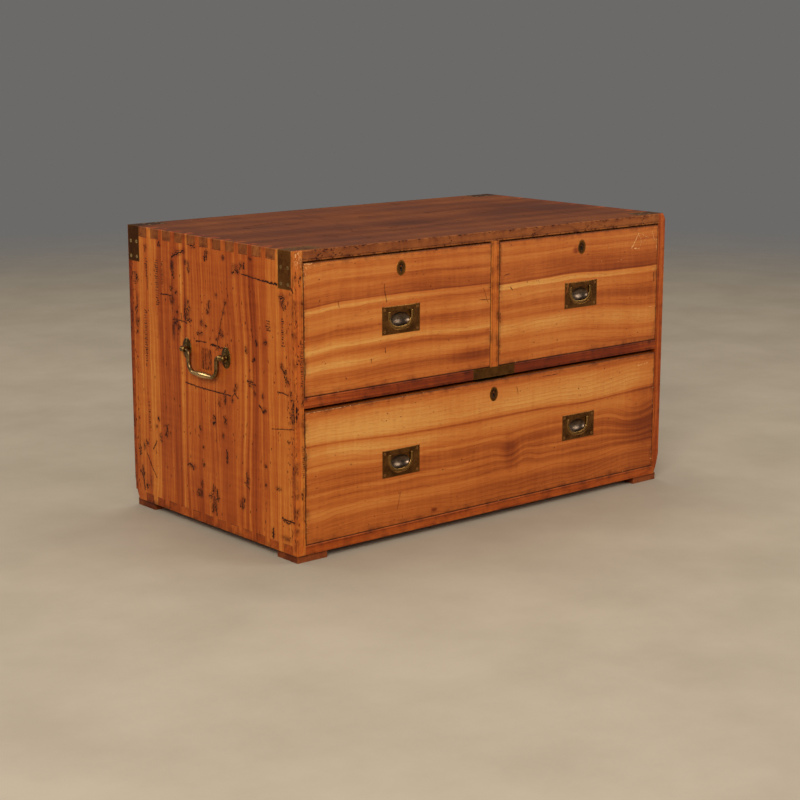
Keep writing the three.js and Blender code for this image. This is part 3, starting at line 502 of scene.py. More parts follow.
# Scratches: width, then the path
left_scratches = [
    (1.6, (150, 47), (164, 42), (193, 32)), (1.1, (188, 280), (225, 282), (296, 283), (338, 282)),
    (1.0, (226, 196), (262, 194)), (1.7, (275, 196), (318, 198)), (1.0, (376, 55), (410, 58), (455, 62)),
    (1.6, (440, 60), (470, 62), (485, 61)), (0.7, (324, 113), (310, 150), (300, 183), (292, 205)),
    (2.0, (494, 207), (503, 220), (510, 231)), (1.6, (320, 385), (324, 404)),
    (1.0, (47, 442), (62, 466), (80, 486)), (1.2, (70, 432), (84, 412)),
    (0.6, (462, 322), (500, 316), (528, 312)), (1.0, (110, 122), (130, 121), (150, 121)),
    (1.0, (150, 166), (178, 164), (200, 166)), (1.6, (385, 34), (384, 46)),
    (1.2, (490, 480), (512, 481), (528, 480)), (1.6, (28, 470), (32, 500), (36, 520)),
    (1.0, (180, 150), (182, 168)), (1.4, (424, 285), (436, 294), (448, 292)),
    (0.9, (480, 253), (498, 251), (512, 254)), (0.8, (340, 285), (350, 276), (360, 284)),
    (1.0, (268, 22), (269, 42)), (0.8, (64, 70), (66, 120)), (1.0, (520, 60), (530, 72)),
]
# Ladders of short ticks, where cords chafed: distance from the back edge, first and last from the top,
# and width
left_ladders = [
    (56, 160, 260, 8), (99, 60, 145, 9), (22, 90, 115, 12), (62, 60, 95, 6), (118, 60, 110, 5),
    (455, 130, 150, 10), (498, 120, 170, 5), (60, 340, 400, 4),
]

# The skin is a net of 4 mm meshes between the dovetails' shoulders, open over the corner straps, each
# given by its first and last place and its leg. Every knock presses its soft bruise into the net
scars = new_shape("dent")
dent = scars.verts.layers.float["dent"]
straps = ((1, 39, 69), (486, 524, 69))
net_step = 4
net_columns = sorted({*range(2, 531, net_step), 39, 486, 524, 530})
net_rows = sorted({*range(20, 525, net_step), 69, 524})
net = {}
for from_back in net_columns:
    for from_top in net_rows:
        net[from_back, from_top] = add_corner(scars, dent, on_left_side(from_back, from_top, skin), 0)
for left, right in zip(net_columns, net_columns[1:]):
    for upper, lower in zip(net_rows, net_rows[1:]):
        if not any(first < (left + right) / 2 < last and upper < leg for first, last, leg in straps):
            mesh = ((left, upper), (right, upper), (right, lower), (left, lower))
            scars.faces.new([net[corner] for corner in mesh])


def press(across, up, wide, high, depth):
    """Presses a soft oval bruise into the net."""
    for from_back in net_columns:
        if abs(from_back - across) < wide / 2:
            for from_top in net_rows:
                away = math.hypot((from_back - across) / wide * 2, (from_top - up) / high * 2)
                if away < 1:
                    vert = net[from_back, from_top]
                    vert[dent] = max(vert[dent], depth * (1 - away * away))


for from_back, from_top, wide, high in left_dents:
    size = math.sqrt(wide * high)
    press(from_back, from_top, wide * 1.4 + 8, high * 1.4 + 8, between(0.4, 0.7))
    for _ in range(2 + int(size / 3.5)):
        spot = (from_back + about(0, wide / 4), from_top + about(0, high / 4))
        long_way = max(wide, high) * between(0.35, 0.9)
        lean = (math.pi / 2 if wide > 1.3 * high else 0) + about(0, 0.4)
        run = (long_way / 2 * math.sin(lean), long_way / 2 * math.cos(lean))
        ends = [(spot[0] - run[0], spot[1] - run[1]), (spot[0] + run[0], spot[1] + run[1])]
        add_scratch(scars, on_left_side, ends, between(2.4, 5.2), between(1.2, 2.2), 2.2)
for width, *path in left_scratches:
    add_scratch(scars, on_left_side, path, width * 2.3, 2.0)
# Bruises with no torn wood in them: place, width, height and depth
left_bruises = [
    (523, 289, 14, 34, 1.4), (172, 38, 26, 11, 1.1), (160, 170, 15, 18, 1.1), (153, 123, 20, 130, 0.32),
    (152, 64, 20, 34, 0.9), (150, 128, 22, 32, 0.9), (153, 182, 15, 60, 0.8), (199, 143, 26, 62, 0.8),
    (103, 96, 22, 130, 0.28), (104, 190, 14, 60, 0.3), (497, 89, 22, 36, 0.8), (207, 61, 12, 34, 0.7),
    (247, 160, 18, 20, 0.8), (359, 45, 34, 18, 0.6), (8, 60, 14, 40, 0.7), (8, 175, 14, 50, 0.7),
    (27, 140, 9, 40, 0.7), (57, 215, 10, 130, 0.35), (278, 497, 15, 34, 1.1), (232, 486, 22, 24, 1.0),
    (368, 482, 18, 20, 1.0), (122, 386, 10, 26, 0.9), (320, 32, 16, 14, 0.9), (300, 300, 12, 60, 0.4),
    (524, 400, 12, 150, 0.4), (500, 515, 40, 16, 0.6), (60, 500, 16, 60, 0.5), (20, 420, 16, 160, 0.4),
]
for bruise in left_bruises:
    press(*bruise)
# The deepest knock took the arris off beside the rail
for from_back, from_top, wide, high in ((525, 281, 11, 26), (522, 290, 13, 14), (526, 272, 6, 20)):
    add_dent(scars, on_left_side, from_back, from_top, wide, high, 0.1, 2.4, 13)
# A dark oblong with upright dark strokes behind the handle
for from_back in net_columns:
    for from_top in net_rows:
        if 245 < from_back < 276 and 206 < from_top < 246:
            dark = (0.7, 1.0) if from_back % 8 == 2 else (0, 0.35)
            net[from_back, from_top][dent] = between(*dark)
for from_back, last in ((247, 246), (251, 230), (258, 243), (266, 240), (272, 236), (275, 244)):
    add_scratch(scars, on_left_side, [(from_back, 207), (from_back + between(-2, 2), last)],
                between(2.0, 3.4), between(1.0, 1.5))
for from_back, first, last, width in left_ladders:
    press(from_back, (first + last) / 2, width * 2 + 6, last - first, 0.3)
    tick = first
    while tick < last:
        across, half = from_back + between(-1.5, 1.5), width * between(0.3, 0.7)
        ends = [(across - half, tick), (across + half, tick + between(-1, 1))]
        add_scratch(scars, on_left_side, ends, between(1.3, 2.4), between(1.2, 1.9), 2.2)
        tick += between(3.2, 5.5)
# Knocks too small to place one by one, thickest along the back and front arrises
for _ in range(380):
    near_edge = chance.random() < 0.4
    edge_place = chance.choice((between(3, 24), between(508, 529)))
    from_back = edge_place if near_edge else between(20, 512)
    add_dent(scars, on_left_side, from_back, between(72, 522), between(1.6, 3.6), between(3, 11),
             about(0, 0.3), between(0.8, 1.6), 7)
# Dark lines of old glue and wax round the dovetails, broken where a joint is tight
tails = 12
first_tail = 39
pin_width = 14
tail_pitch = (case_depth - 13 - first_tail + pin_width) / tails
tail_slope = 2.7
for tail in range(tails):
    first = first_tail + tail * tail_pitch
    last = first + tail_pitch - pin_width
    for shoulder, end in ((19, 1), (525, 541)):
        on_strap = tail == tails - 1 and shoulder == 19
        if chance.random() < 0.85 and not on_strap:
            ends = [(first, shoulder), (last, shoulder + between(-0.6, 0.6))]
            add_scratch(scars, on_left_side, ends, between(0.8, 1.5), between(0.9, 1.5))
        for foot in (first + tail_slope, last - tail_slope):
            if chance.random() < 0.7 and not on_strap:
                ends = [(foot, shoulder), (foot, end)]
                add_scratch(scars, on_left_side, ends, between(0.6, 1.0), between(0.8, 1.4))
new_piece("left_side_scars", scars, [left_camphor], "carcass")


# The right side took fewer knocks. It is the same kind of board, and the skin of scars lies on it in the
# same way, without the net.
on_right_side = case_side(1)
right_scars = new_shape("dent")
for _ in range(190):
    from_back = chance.choice((between(4, 26), between(506, 527), between(20, 512)))
    add_dent(right_scars, on_right_side, from_back, between(74, 520), between(1.6, 4), between(3, 12),
             about(0, 0.4), between(0.8, 1.5), 7)
for _ in range(34):
    from_back, from_top = between(40, 480), between(80, 500)
    for _ in range(3):
        spot = (from_back + about(0, 3), from_top + about(0, 5))
        tip = (spot[0] + about(0, 4), spot[1] + between(4, 16))
        add_scratch(right_scars, on_right_side, [spot, tip], between(1.4, 3.2), between(1.0, 1.7), 2.2)
new_piece("right_side_scars", right_scars, [right_camphor], "carcass")


def on_front(right, above, lift):
    """Puts a mark on the front of the chest."""
    return Vector((right, -chest_back - lift, above)) * mm


def on_board(left, right, bottom, top):
    """Gives the function that puts a mark on a board in the chest's front, and keeps it on that board."""
    def on_face(across, above, lift):
        return on_front(within(across, left, right), within(above, bottom, top), lift)
    return on_face


# The front arrises of the sides, and the front edge of the top, took the same knocks
on_left_edge = on_board(-side_face, -opening_half, foot_height, chest_top)
arris_scars = new_shape("dent")
for _ in range(70):
    high = between(2, 12)
    spot = (chance.choice((-469, -453)) + between(0, 3), between(40, 545))
    add_dent(arris_scars, on_left_edge, *spot, between(1.2, 3), high, about(0, 0.25), between(0.7, 1.1), 7)
for first, last, right in ((321, 396, -455), (156, 216, -454)):
    for above in range(first, last, 4):
        across, slope = right + between(-1, 1), between(-1, 1)
        ends = [(across - 2.2, above), (across + 2.2, above + slope)]
        add_scratch(arris_scars, on_left_edge, ends, between(1.3, 2.2), between(0.9, 1.3), 2.2)
edge_dents = [
    (-466, 300, 5, 14), (-455, 288, 4, 22), (-463, 366, 5, 14), (-457, 396, 4, 10), (-466, 268, 6, 12),
    (-457, 360, 4, 9), (-465, 430, 4, 16), (-456, 120, 4, 18), (-464, 76, 5, 9), (-458, 505, 5, 16),
]
for right, above, wide, high in edge_dents:
    for _ in range(3):
        spot = (right + about(0, 1.5), above + about(0, 5))
        add_dent(arris_scars, on_left_edge, *spot, wide * 0.7, high * 0.6, about(0, 0.4), 1.0, 9)
for above, high in ((276, 26), (266, 14)):
    add_dent(arris_scars, on_left_edge, -467.5, above, 6, high, 0, 2.2, 11)
# The corner beside the strap is rubbed pale
for _ in range(26):
    start = (between(-469, -453), between(531, 554))
    end = (start[0] + about(0, 1), start[1] - between(3, 10))
    add_scratch(arris_scars, on_left_edge, [start, end], between(0.8, 2.0), -between(0.8, 1.3), 2)
rubs = ((-466, 548, 5, 12), (-460, 552, 9, 5), (-462, 536, 4, 10), (-455, 545, 4, 8))
for right, above, wide, high in rubs:
    add_dent(arris_scars, on_left_edge, right, above, wide, high, about(0, 0.3), -1.2, 9)
new_piece("left_arris_scars", arris_scars, [left_camphor], "carcass")


# The top and bottom are camphor boards with the grain along the chest, their tails let through the sides
# so that dark end grain shows. The top is darker and redder than the sides, and its upper face carries
# painted shade.
top_tones = [(0.0, "#421b08"), (0.3, "#633012"), (0.55, "#81461d"), (0.8, "#995b28"), (1.0, "#b17537")]
top_figure = [
    (0.0, 0.5), (0.03, 0.46), (0.09, 0.52), (0.15, 0.4), (0.2, 0.48), (0.27, 0.36), (0.33, 0.46),
    (0.4, 0.36), (0.46, 0.4), (0.55, 0.5), (0.62, 0.4), (0.7, 0.48), (0.77, 0.4), (0.84, 0.52),
    (0.91, 0.44), (1.0, 0.5),
]
# Painted shade makes the top's upper face a tone darker, and painted sheen makes the board lighter towards
# its right end
top_camphor = camphor(
    "polished_camphor_top", "top_board", x_axis, y_axis, top_figure, top_tones, seed=3, sway=6, ring=14,
    swirls=[(-60, -90, 180, 60, 14), (210, 40, 160, 50, -12)],
    stains=[(-40, -60, 110, 60, -0.16), (320, 0, 230, 240, -0.13)],
    face_shade=(z_axis, -0.1), end_shade=0.12, roughness=(0.42, 0.55), gleam=0.12, rub=0.2, grime=0.7,
    slant=0.4, fade=0.06,
)
on_top_edge = on_board(-opening_half, opening_half, chest_top - case_wood, chest_top)
top_scars = new_shape("dent")
for _ in range(150):
    wide = between(2, 14)
    spot = (between(-448, 448), chance.choice((538.5, 555)) + between(-1.2, 0.6))
    add_dent(top_scars, on_top_edge, *spot, wide, between(1.2, 3.4), about(0, 0.15), between(0.7, 1.15), 7)
top_dents = ((-418, 16), (-411, 12), (-380, 12), (-372, 9), (-328, 14), (-110, 7), (96, 10), (250, 16),
             (290, 9), (404, 8))
for right, wide in top_dents:
    for _ in range(3):
        spot = (right + about(0, 5), between(540, 553))
        high = between(2, 5)
        add_dent(top_scars, on_top_edge, *spot, wide * 0.6, high, about(0, 0.4), between(0.8, 1.1), 9)
new_piece("top_edge_scars", top_scars, [top_camphor], "carcass")


def on_top(right, back, lift):
    """Puts a mark on the upper face of the top."""
    return Vector((right, back, chest_top + lift)) * mm


# Its upper face has a few knocks, and fine scratches that show pale
face_scars = new_shape("dent")
for _ in range(90):
    add_dent(face_scars, on_top, between(-395, 395), between(-262, 262), between(1.5, 6),
             between(1.5, 5), between(0, 3), between(0.6, 1.2), 7)
for _ in range(26):
    start = (between(-380, 360), between(-240, 240))
    bend = (start[0] + about(0, 26), start[1] + about(0, 22))
    stop = (bend[0] + about(0, 18), bend[1] + about(0, 10))
    add_scratch(face_scars, on_top, [start, bend, stop], between(0.9, 1.6), chance.choice((-0.8, -0.6, 0.9)))
for first, last in ((-404, -340), (-322, -214), (-190, -176), (-120, 34), (52, 150), (230, 262)):
    add_scratch(face_scars, on_top, [(first, 263), ((first + last) / 2, 262.5), (last, 263)], 1.5, -0.9)
new_piece("top_face_scars", face_scars, [top_camphor], "carcass")
bottom_figure = [
    (0.0, 0.46), (0.1, 0.56), (0.2, 0.4), (0.34, 0.6), (0.5, 0.42), (0.64, 0.58), (0.8, 0.4), (1.0, 0.5),
]
camphor(
    "waxed_camphor_bottom", "bottom_board", x_axis, y_axis, bottom_figure, case_tones, seed=4, ring=12,
    face_shade=(y_axis, -0.1), end_shade=-0.14, grime=0.55,
)

# The back is two wide camphor boards nailed into rebates, never polished: duller, greyer and dusty, with
# wrought nails along their ends.
back_tones = [(0.0, "#5a3220"), (0.3, "#7b4a2c"), (0.55, "#946038"), (0.8, "#a87648"), (1.0, "#bb8d5e")]
back_figure = [
    (0.0, 0.4), (0.12, 0.56), (0.2, 0.36), (0.31, 0.5), (0.44, 0.62), (0.5, 0.34), (0.6, 0.5), (0.72, 0.4),
    (0.8, 0.6), (0.9, 0.44), (1.0, 0.5),
]
for number, back_board in enumerate(("back_board_lower", "back_board_upper")):
    camphor(
        "dusty_camphor_" + back_board, back_board, x_axis, z_axis, back_figure, back_tones, seed=5 + number,
        sway=5, ring=13, roughness=(0.66, 0.8), grime=0.8,
        swirls=[(-180 + 300 * number, 150 + 260 * number, 170, 50, 16)],
    )

# Black forge scale with brown rust in spots of 2 mm, dull and rough from the hammer
wrought_iron, tree, place = new_material("wrought_iron_nail")
scale = add_node(tree, "TexNoise", {"Vector": place, "Scale": 1 / (2 * mm), "Detail": 4})
rust = add_node(tree, "ValToRGB", scale, stops=[(0.4, linear("#2b2420")), (0.62, linear("#4f3222"))])
hammered = add_node(tree, "Bump", {"Height": scale, "Strength": 0.5, "Distance": 0.3 * mm})
forged = {"Base Color": rust, "Metallic": 0.7, "Roughness": 0.6, "Normal": hammered}
add_node(tree, "OutputMaterial", add_node(tree, "BsdfPrincipled", forged))


def add_head(shape, centre, outward, radius, crown, sides=18, turn=None, worn=0.0):
    """The head of a nail or, where it has a turn, of a screw whose slot is full of old wax; sizes in mm."""
    out = Vector(outward)
    layer = shape.verts.layers.float["worn"]
    right = out.orthogonal().normalized()
    above = out.cross(right)
    middle = Vector(centre)
    rings = []
    for share, height in ((1.0, 0.0), (0.9, 0.6), (0.55, 0.92)):
        ring = []
        for side in range(sides):
            angle = math.tau * side / sides
            spoke = (right * math.cos(angle) + above * math.sin(angle)) * radius * share
            ring.append(add_corner(shape, layer, (middle + spoke + out * crown * height) * mm, worn))
        rings.append(ring)
    join_rings(shape, rings)
    shape.faces.new(rings[-1])
    if turn is None:
        return
    along_slot = right * math.cos(turn) + above * math.sin(turn)
    over_slot = out.cross(along_slot)
    rim = [(-0.86, -0.13), (0.86, -0.13), (0.86, 0.13), (-0.86, 0.13)]
    slot = [middle + (along_slot * a + over_slot * b) * radius + out * crown * 1.05 for a, b in rim]
    shape.faces.new([shape.verts.new(corner * mm) for corner in slot]).material_index = 1


nails = new_shape("worn")
nail_crown = 0.06
nail_sides = 9
for height in (40, 100, 160, 220, 270, 298, 350, 410, 470, 530):
    for side in (-1, 1):
        spot = (side * (side_face - 9 + between(-1.5, 1.5)), chest_back, height + between(-6, 6))
        add_head(nails, spot, (0, 1, 0), between(2.2, 3.0), nail_crown, nail_sides)
for across in (-400, -260, -130, 0, 130, 260, 400):
    for height in (foot_height + 10, chest_top - 10):
        spot = (across + between(-12, 12), chest_back, height + between(-1.5, 1.5))
        add_head(nails, spot, (0, 1, 0), between(2.2, 3.0), nail_crown, nail_sides)
new_piece("back_nails", nails, [wrought_iron], "carcass")

# The rail between the drawers and the divider over it are camphor strips tenoned into the case, scratched
# with a bead. Hands and drawers have rubbed them dark and red in places.
rail_figure = [(0.0, 0.32), (0.3, 0.5), (0.55, 0.36), (0.8, 0.56), (1.0, 0.34)]
camphor(
    "waxed_camphor_rail", "middle_rail", x_axis, z_axis, rail_figure, case_tones, seed=8, sway=1.5, ring=6,
    stains=[(92, 288, 46, 60, -0.3), (-64, 288, 16, 40, -0.25), (340, 288, 140, 40, -0.2),
            (0, 288, 700, 90, -0.45)],
    fade=-0.1, grime=0.8,
)
divider_figure = [(0.0, 0.62), (0.1, 0.74), (0.3, 0.58), (0.5, 0.7), (0.75, 0.56), (1.0, 0.6)]
camphor(
    "waxed_camphor_divider", "centre_divider", z_axis, y_axis, divider_figure, case_tones, seed=9, ring=7,
    grime=0.7, slant=1.4,
)

# The dust board lies in a rebate of the rail and a dado in each side, the drawer guide on it behind the
# divider, and a stop is glued behind each front's lower edge. They are camphor left off the plane: pale,
# dry and a little furry.
inside_tones = [(0.0, "#7d4e2b"), (0.3, "#9c6c41"), (0.55, "#b5875a"), (0.8, "#c79d70"), (1.0, "#d6b288")]
inside_figure = [(0.0, 0.5), (0.14, 0.62), (0.3, 0.42), (0.45, 0.58), (0.6, 0.44), (0.8, 0.6), (1.0, 0.5)]
inside_boards = ("dust_board", "drawer_guide", "left_drawer_stop", "right_drawer_stop", "long_drawer_stop")
for number, board in enumerate(inside_boards):
    along, across = (y_axis, x_axis) if board == "drawer_guide" else (x_axis, y_axis)
    camphor(
        "dry_camphor_" + board, board, along, across, inside_figure, inside_tones, seed=10 + number, ring=11,
        roughness=(0.7, 0.85), grime=0.3,
    )

# The feet are plain camphor blocks, glued and screwed under the corners. Floors have scuffed them, and
# they are darker and duller than the case.
foot_tones = [(0.0, "#4c1f0a"), (0.3, "#692f12"), (0.55, "#7f3f1a"), (0.8, "#945024"), (1.0, "#aa6833")]
foot_figure = [(0.0, 0.5), (0.4, 0.36), (0.7, 0.6), (1.0, 0.4)]
for number, corner in enumerate(("front_left", "front_right", "back_left", "back_right")):
    camphor(
        "scuffed_camphor_foot_" + corner, corner + "_foot", x_axis, y_axis, foot_figure, foot_tones,
        seed=20 + number, ring=7, roughness=(0.5, 0.66), grime=0.6, rub=0.25,
    )


# The corner straps are sheet brass bent over the arris and let in flush, held by countersunk screws. They
# have gone brown-black with age and are bright only where hands and covers rubbed them.
def aged_brass(name, node, dark="#3a2a14", bright="#8a6a38", wear=0.5, roughness=(0.34, 0.52), seed=0):
    """Rolled or cast brass under a brown patina, rubbed brighter along its arrises and its worn places."""
    material, tree, place = new_material(name)
    arris = arris_distance(tree, place, *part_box(node))
    edge = add_node(tree, "MapRange", arris, {2: 1.6 * mm, 3: 1.0, 4: 0.0})

    # Patina lies in clouds 20 mm wide with a mottle of 3 mm, and pits of 0.5 mm drawn 1 mm wide to show
    shifted = add_node(tree, "VectorMath", place, Vector((3.1, 1.7, 2.3)) * (seed + 1))
    clouds = {"Vector": shifted, "Scale": 1 / (20 * mm), "Detail": 4, "Roughness": 0.6}
    clouds = add_node(tree, "TexNoise", clouds)
    mottle = add_node(tree, "TexNoise", {"Vector": shifted, "Scale": 330, "Detail": 3, "Roughness": 0.6})
    pits = add_node(tree, "TexNoise", {"Vector": shifted, "Scale": 1 / mm, "Detail": 2})
    rubbed = add_node(tree, "Attribute", attribute_name="worn")
    bare = add_node(tree, "Math", edge, rubbed.outputs["Fac"], operation="MAXIMUM")
    bare = add_node(tree, "Math", bare, wear, operation="MULTIPLY")
    bare = add_node(tree, "Math", clouds, 0.9, bare, operation="MULTIPLY_ADD")
    bare = add_node(tree, "Math", mottle, 0.5, bare, operation="MULTIPLY_ADD")
    bare = add_node(tree, "Math", bare, 0.5, operation="SUBTRACT")
    colour = add_node(tree, "ValToRGB", bare, stops=[(0.05, linear(dark)), (0.85, linear(bright))])
    gloss = add_node(tree, "MapRange", bare, {3: roughness[1], 4: roughness[0]})
    relief = add_node(tree, "Math", mottle, 0.5, pits, operation="MULTIPLY_ADD")
    cast = add_node(tree, "Bump", {"Height": relief, "Strength": 0.35, "Distance": 0.25 * mm})
    brass = {"Base Color": colour, "Metallic": 1.0, "Roughness": gloss, "Normal": cast}
    add_node(tree, "OutputMaterial", add_node(tree, "BsdfPrincipled", brass))
    return material


def soften(node, width):
    """Breaks a metal node's arrises, as a file does."""
    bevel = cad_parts[node].modifiers.new("filed_arrises", "BEVEL")
    bevel.width = width * mm
    bevel.segments = 2
    bevel.limit_method = "ANGLE"


# Wax and dirt in screw slots, and painted shade lining keyholes: near black and dull, with grains of 1 mm
wax_and_keyhole_shade, tree, place = new_material("old_wax_and_keyhole_shade")
grains = add_node(tree, "TexNoise", {"Vector": place, "Scale": 900, "Detail": 2})
dirt = add_node(tree, "ValToRGB", grains, stops=[(0.4, linear("#120c08")), (0.65, linear("#2c1c12"))])
packed_dirt_and_shade = add_node(tree, "BsdfPrincipled", {"Base Color": dirt, "Roughness": 0.8})
add_node(tree, "OutputMaterial", packed_dirt_and_shade)

strap_width = 38
strap_screws_at = (30, 59)
strap_screw_inset = 9
screw_radius = 3.4
screw_crown = 0.05
strap_screws = new_shape("worn")
for number, corner in enumerate(("front_left", "front_right", "back_left", "back_right")):
    node = corner + "_corner_strap"
    strap_brass = ("#643710", "#b57c3a") if "front" in corner else ("#4a2306", "#8e5a1e")
    finish_with(node, aged_brass("tarnished_" + node, node, *strap_brass, wear=0.6, seed=number))
    soften(node, 0.4)
    side = -1 if "left" in corner else 1
    inset = 8 if "front" in corner else 1
    end = -1 if "front" in corner else 1
    near = end * (chest_back - inset - strap_screw_inset)
    far = end * (chest_back - inset - strap_width + strap_screw_inset)
    for across in (near, far):
        for along in strap_screws_at:
            turn = between(0, math.pi)
            beside = (side * side_face, across, chest_top - along)
            over = (side * (side_face - along), across, chest_top)
            add_head(strap_screws, beside, (side, 0, 0), screw_radius, screw_crown, turn=turn)
            add_head(strap_screws, over, (0, 0, 1), screw_radius, screw_crown, turn=turn + 1)
screw_brass = aged_brass("tarnished_screws", "front_left_corner_strap", "#84602c", "#dcb878", wear=0.6,
                         seed=9)
new_piece("strap_screws", strap_screws, [screw_brass, wax_and_keyhole_shade], "carcass")

# A flat strap of sheet brass is let into the middle rail, where the divider's tenon weakens it, and is
# held by a screw at each end.
rail_middle = 288.5
rail_screw_out = 45
rail_brass = aged_brass("tarnished_rail_strap", "rail_strap", "#46290f", "#7d5628", wear=0.35, seed=5)
finish_with("rail_strap", rail_brass)
soften("rail_strap", 0.3)
rail_screws = new_shape("worn")
for across in (-rail_screw_out, rail_screw_out):
    spot = (across, -chest_back, rail_middle)
    add_head(rail_screws, spot, (0, -1, 0), 2.6, screw_crown, turn=between(0, math.pi))
new_piece("rail_strap_screws", rail_screws, [rail_brass, wax_and_keyhole_shade], "carcass")

# A carrying handle hangs on each side: a cast brass bail, swelled at the grip, whose pins turn in the
# barrels of two domed oval roses. Hands have worn the grip and the crowns of the roses brightest.
rose_half_width = 14.5
rose_half_height = 20
rose_rim = 1.2
rose_crown = 3.6
rose_half_spacing = 63.5
rose_screw_rise = 13.2
rose_screw_out = 2.15
handle_y = 5
handle_z = 342
barrel_radius = 5.6
barrel_half = 8
neck_radius = 4.5
bar_stand_off = 9.5
pin_radius = 2.9
arm_radius = 4.2
grip_radius = 6.4
arm_half_spacing = 45.5
shoulder_radius = 8
corner_radius = 18
bail_drop = 40
grip_half_length = 32
grip_wear_end = 48


def add_lathe(shape, turned, profile, sides, worn_at=None):
    """Turned work: turned(radius, height, angle) gives a point in mm for each corner of the profile."""
    layer = shape.verts.layers.float["worn"]
    rings = []
    for radius, height in profile:
        ring = []
        for side in range(1 if radius == 0 else sides):
            spot = Vector(turned(radius, height, math.tau * side / sides)) * mm
            ring.append(add_corner(shape, layer, spot, worn_at(radius, height) if worn_at else 0.0))
        rings.append(ring)
    join_rings(shape, rings)


def add_sweep(shape, sections, worn):
    """A bar through sections of points in mm, closed at both ends."""
    layer = shape.verts.layers.float["worn"]
    rings = []
    for place, section in enumerate(sections):
        ring = []
        for turn, point in enumerate(section):
            ring.append(add_corner(shape, layer, Vector(point) * mm, worn(place, turn)))
        rings.append(ring)
    join_rings(shape, rings)
    shape.faces.new(rings[0])
    shape.faces.new(rings[-1])


def other_half(points):
    """The second half of a bail's middle line, the first in a mirror."""
    return [((-place[0], place[1]), (way[0], -way[1])) for place, way in reversed(points[:-1])]


def handle_line():
    """Middle line of the carrying bail in the plane that it hangs in, as place and direction."""
    points = []
    shoulder = arm_half_spacing + shoulder_radius
    low_bend = corner_radius - bail_drop
    for step in range(5):
        across = (rose_half_spacing - shoulder) * step / 5 - rose_half_spacing
        points.append(((across, 0), (1, 0)))
    for step in range(10):
        turn = math.radians(90 - 9 * step)
        spot = (shoulder_radius * math.cos(turn) - shoulder, shoulder_radius * (math.sin(turn) - 1))
        points.append((spot, (math.sin(turn), -math.cos(turn))))
    for step in range(6):
        up = (low_bend + shoulder_radius) * step / 6 - shoulder_radius
        points.append(((-arm_half_spacing, up), (0, -1)))
    for step in range(14):
        turn = math.radians(180 + 90 * step / 14)
        across = corner_radius * (1 + math.cos(turn)) - arm_half_spacing
        spot = (across, low_bend + corner_radius * math.sin(turn))
        points.append((spot, (-math.sin(turn), math.cos(turn))))
    run = arm_half_spacing - corner_radius
    for step in range(15):
        points.append(((run * step / 14 - run, -bail_drop), (1, 0)))
    return points + other_half(points)


def bar_radius(from_middle):
    """How thick the carrying bail is: thin at its pins, and swelled at the grip."""
    pin_start = arm_half_spacing + shoulder_radius
    share = min(1, max(0, (pin_start - from_middle) / shoulder_radius))
    swell = math.cos(math.pi / 2 * min(1, from_middle / grip_half_length)) ** 2
    return pin_radius + (arm_radius - pin_radius) * share + (grip_radius - arm_radius) * swell


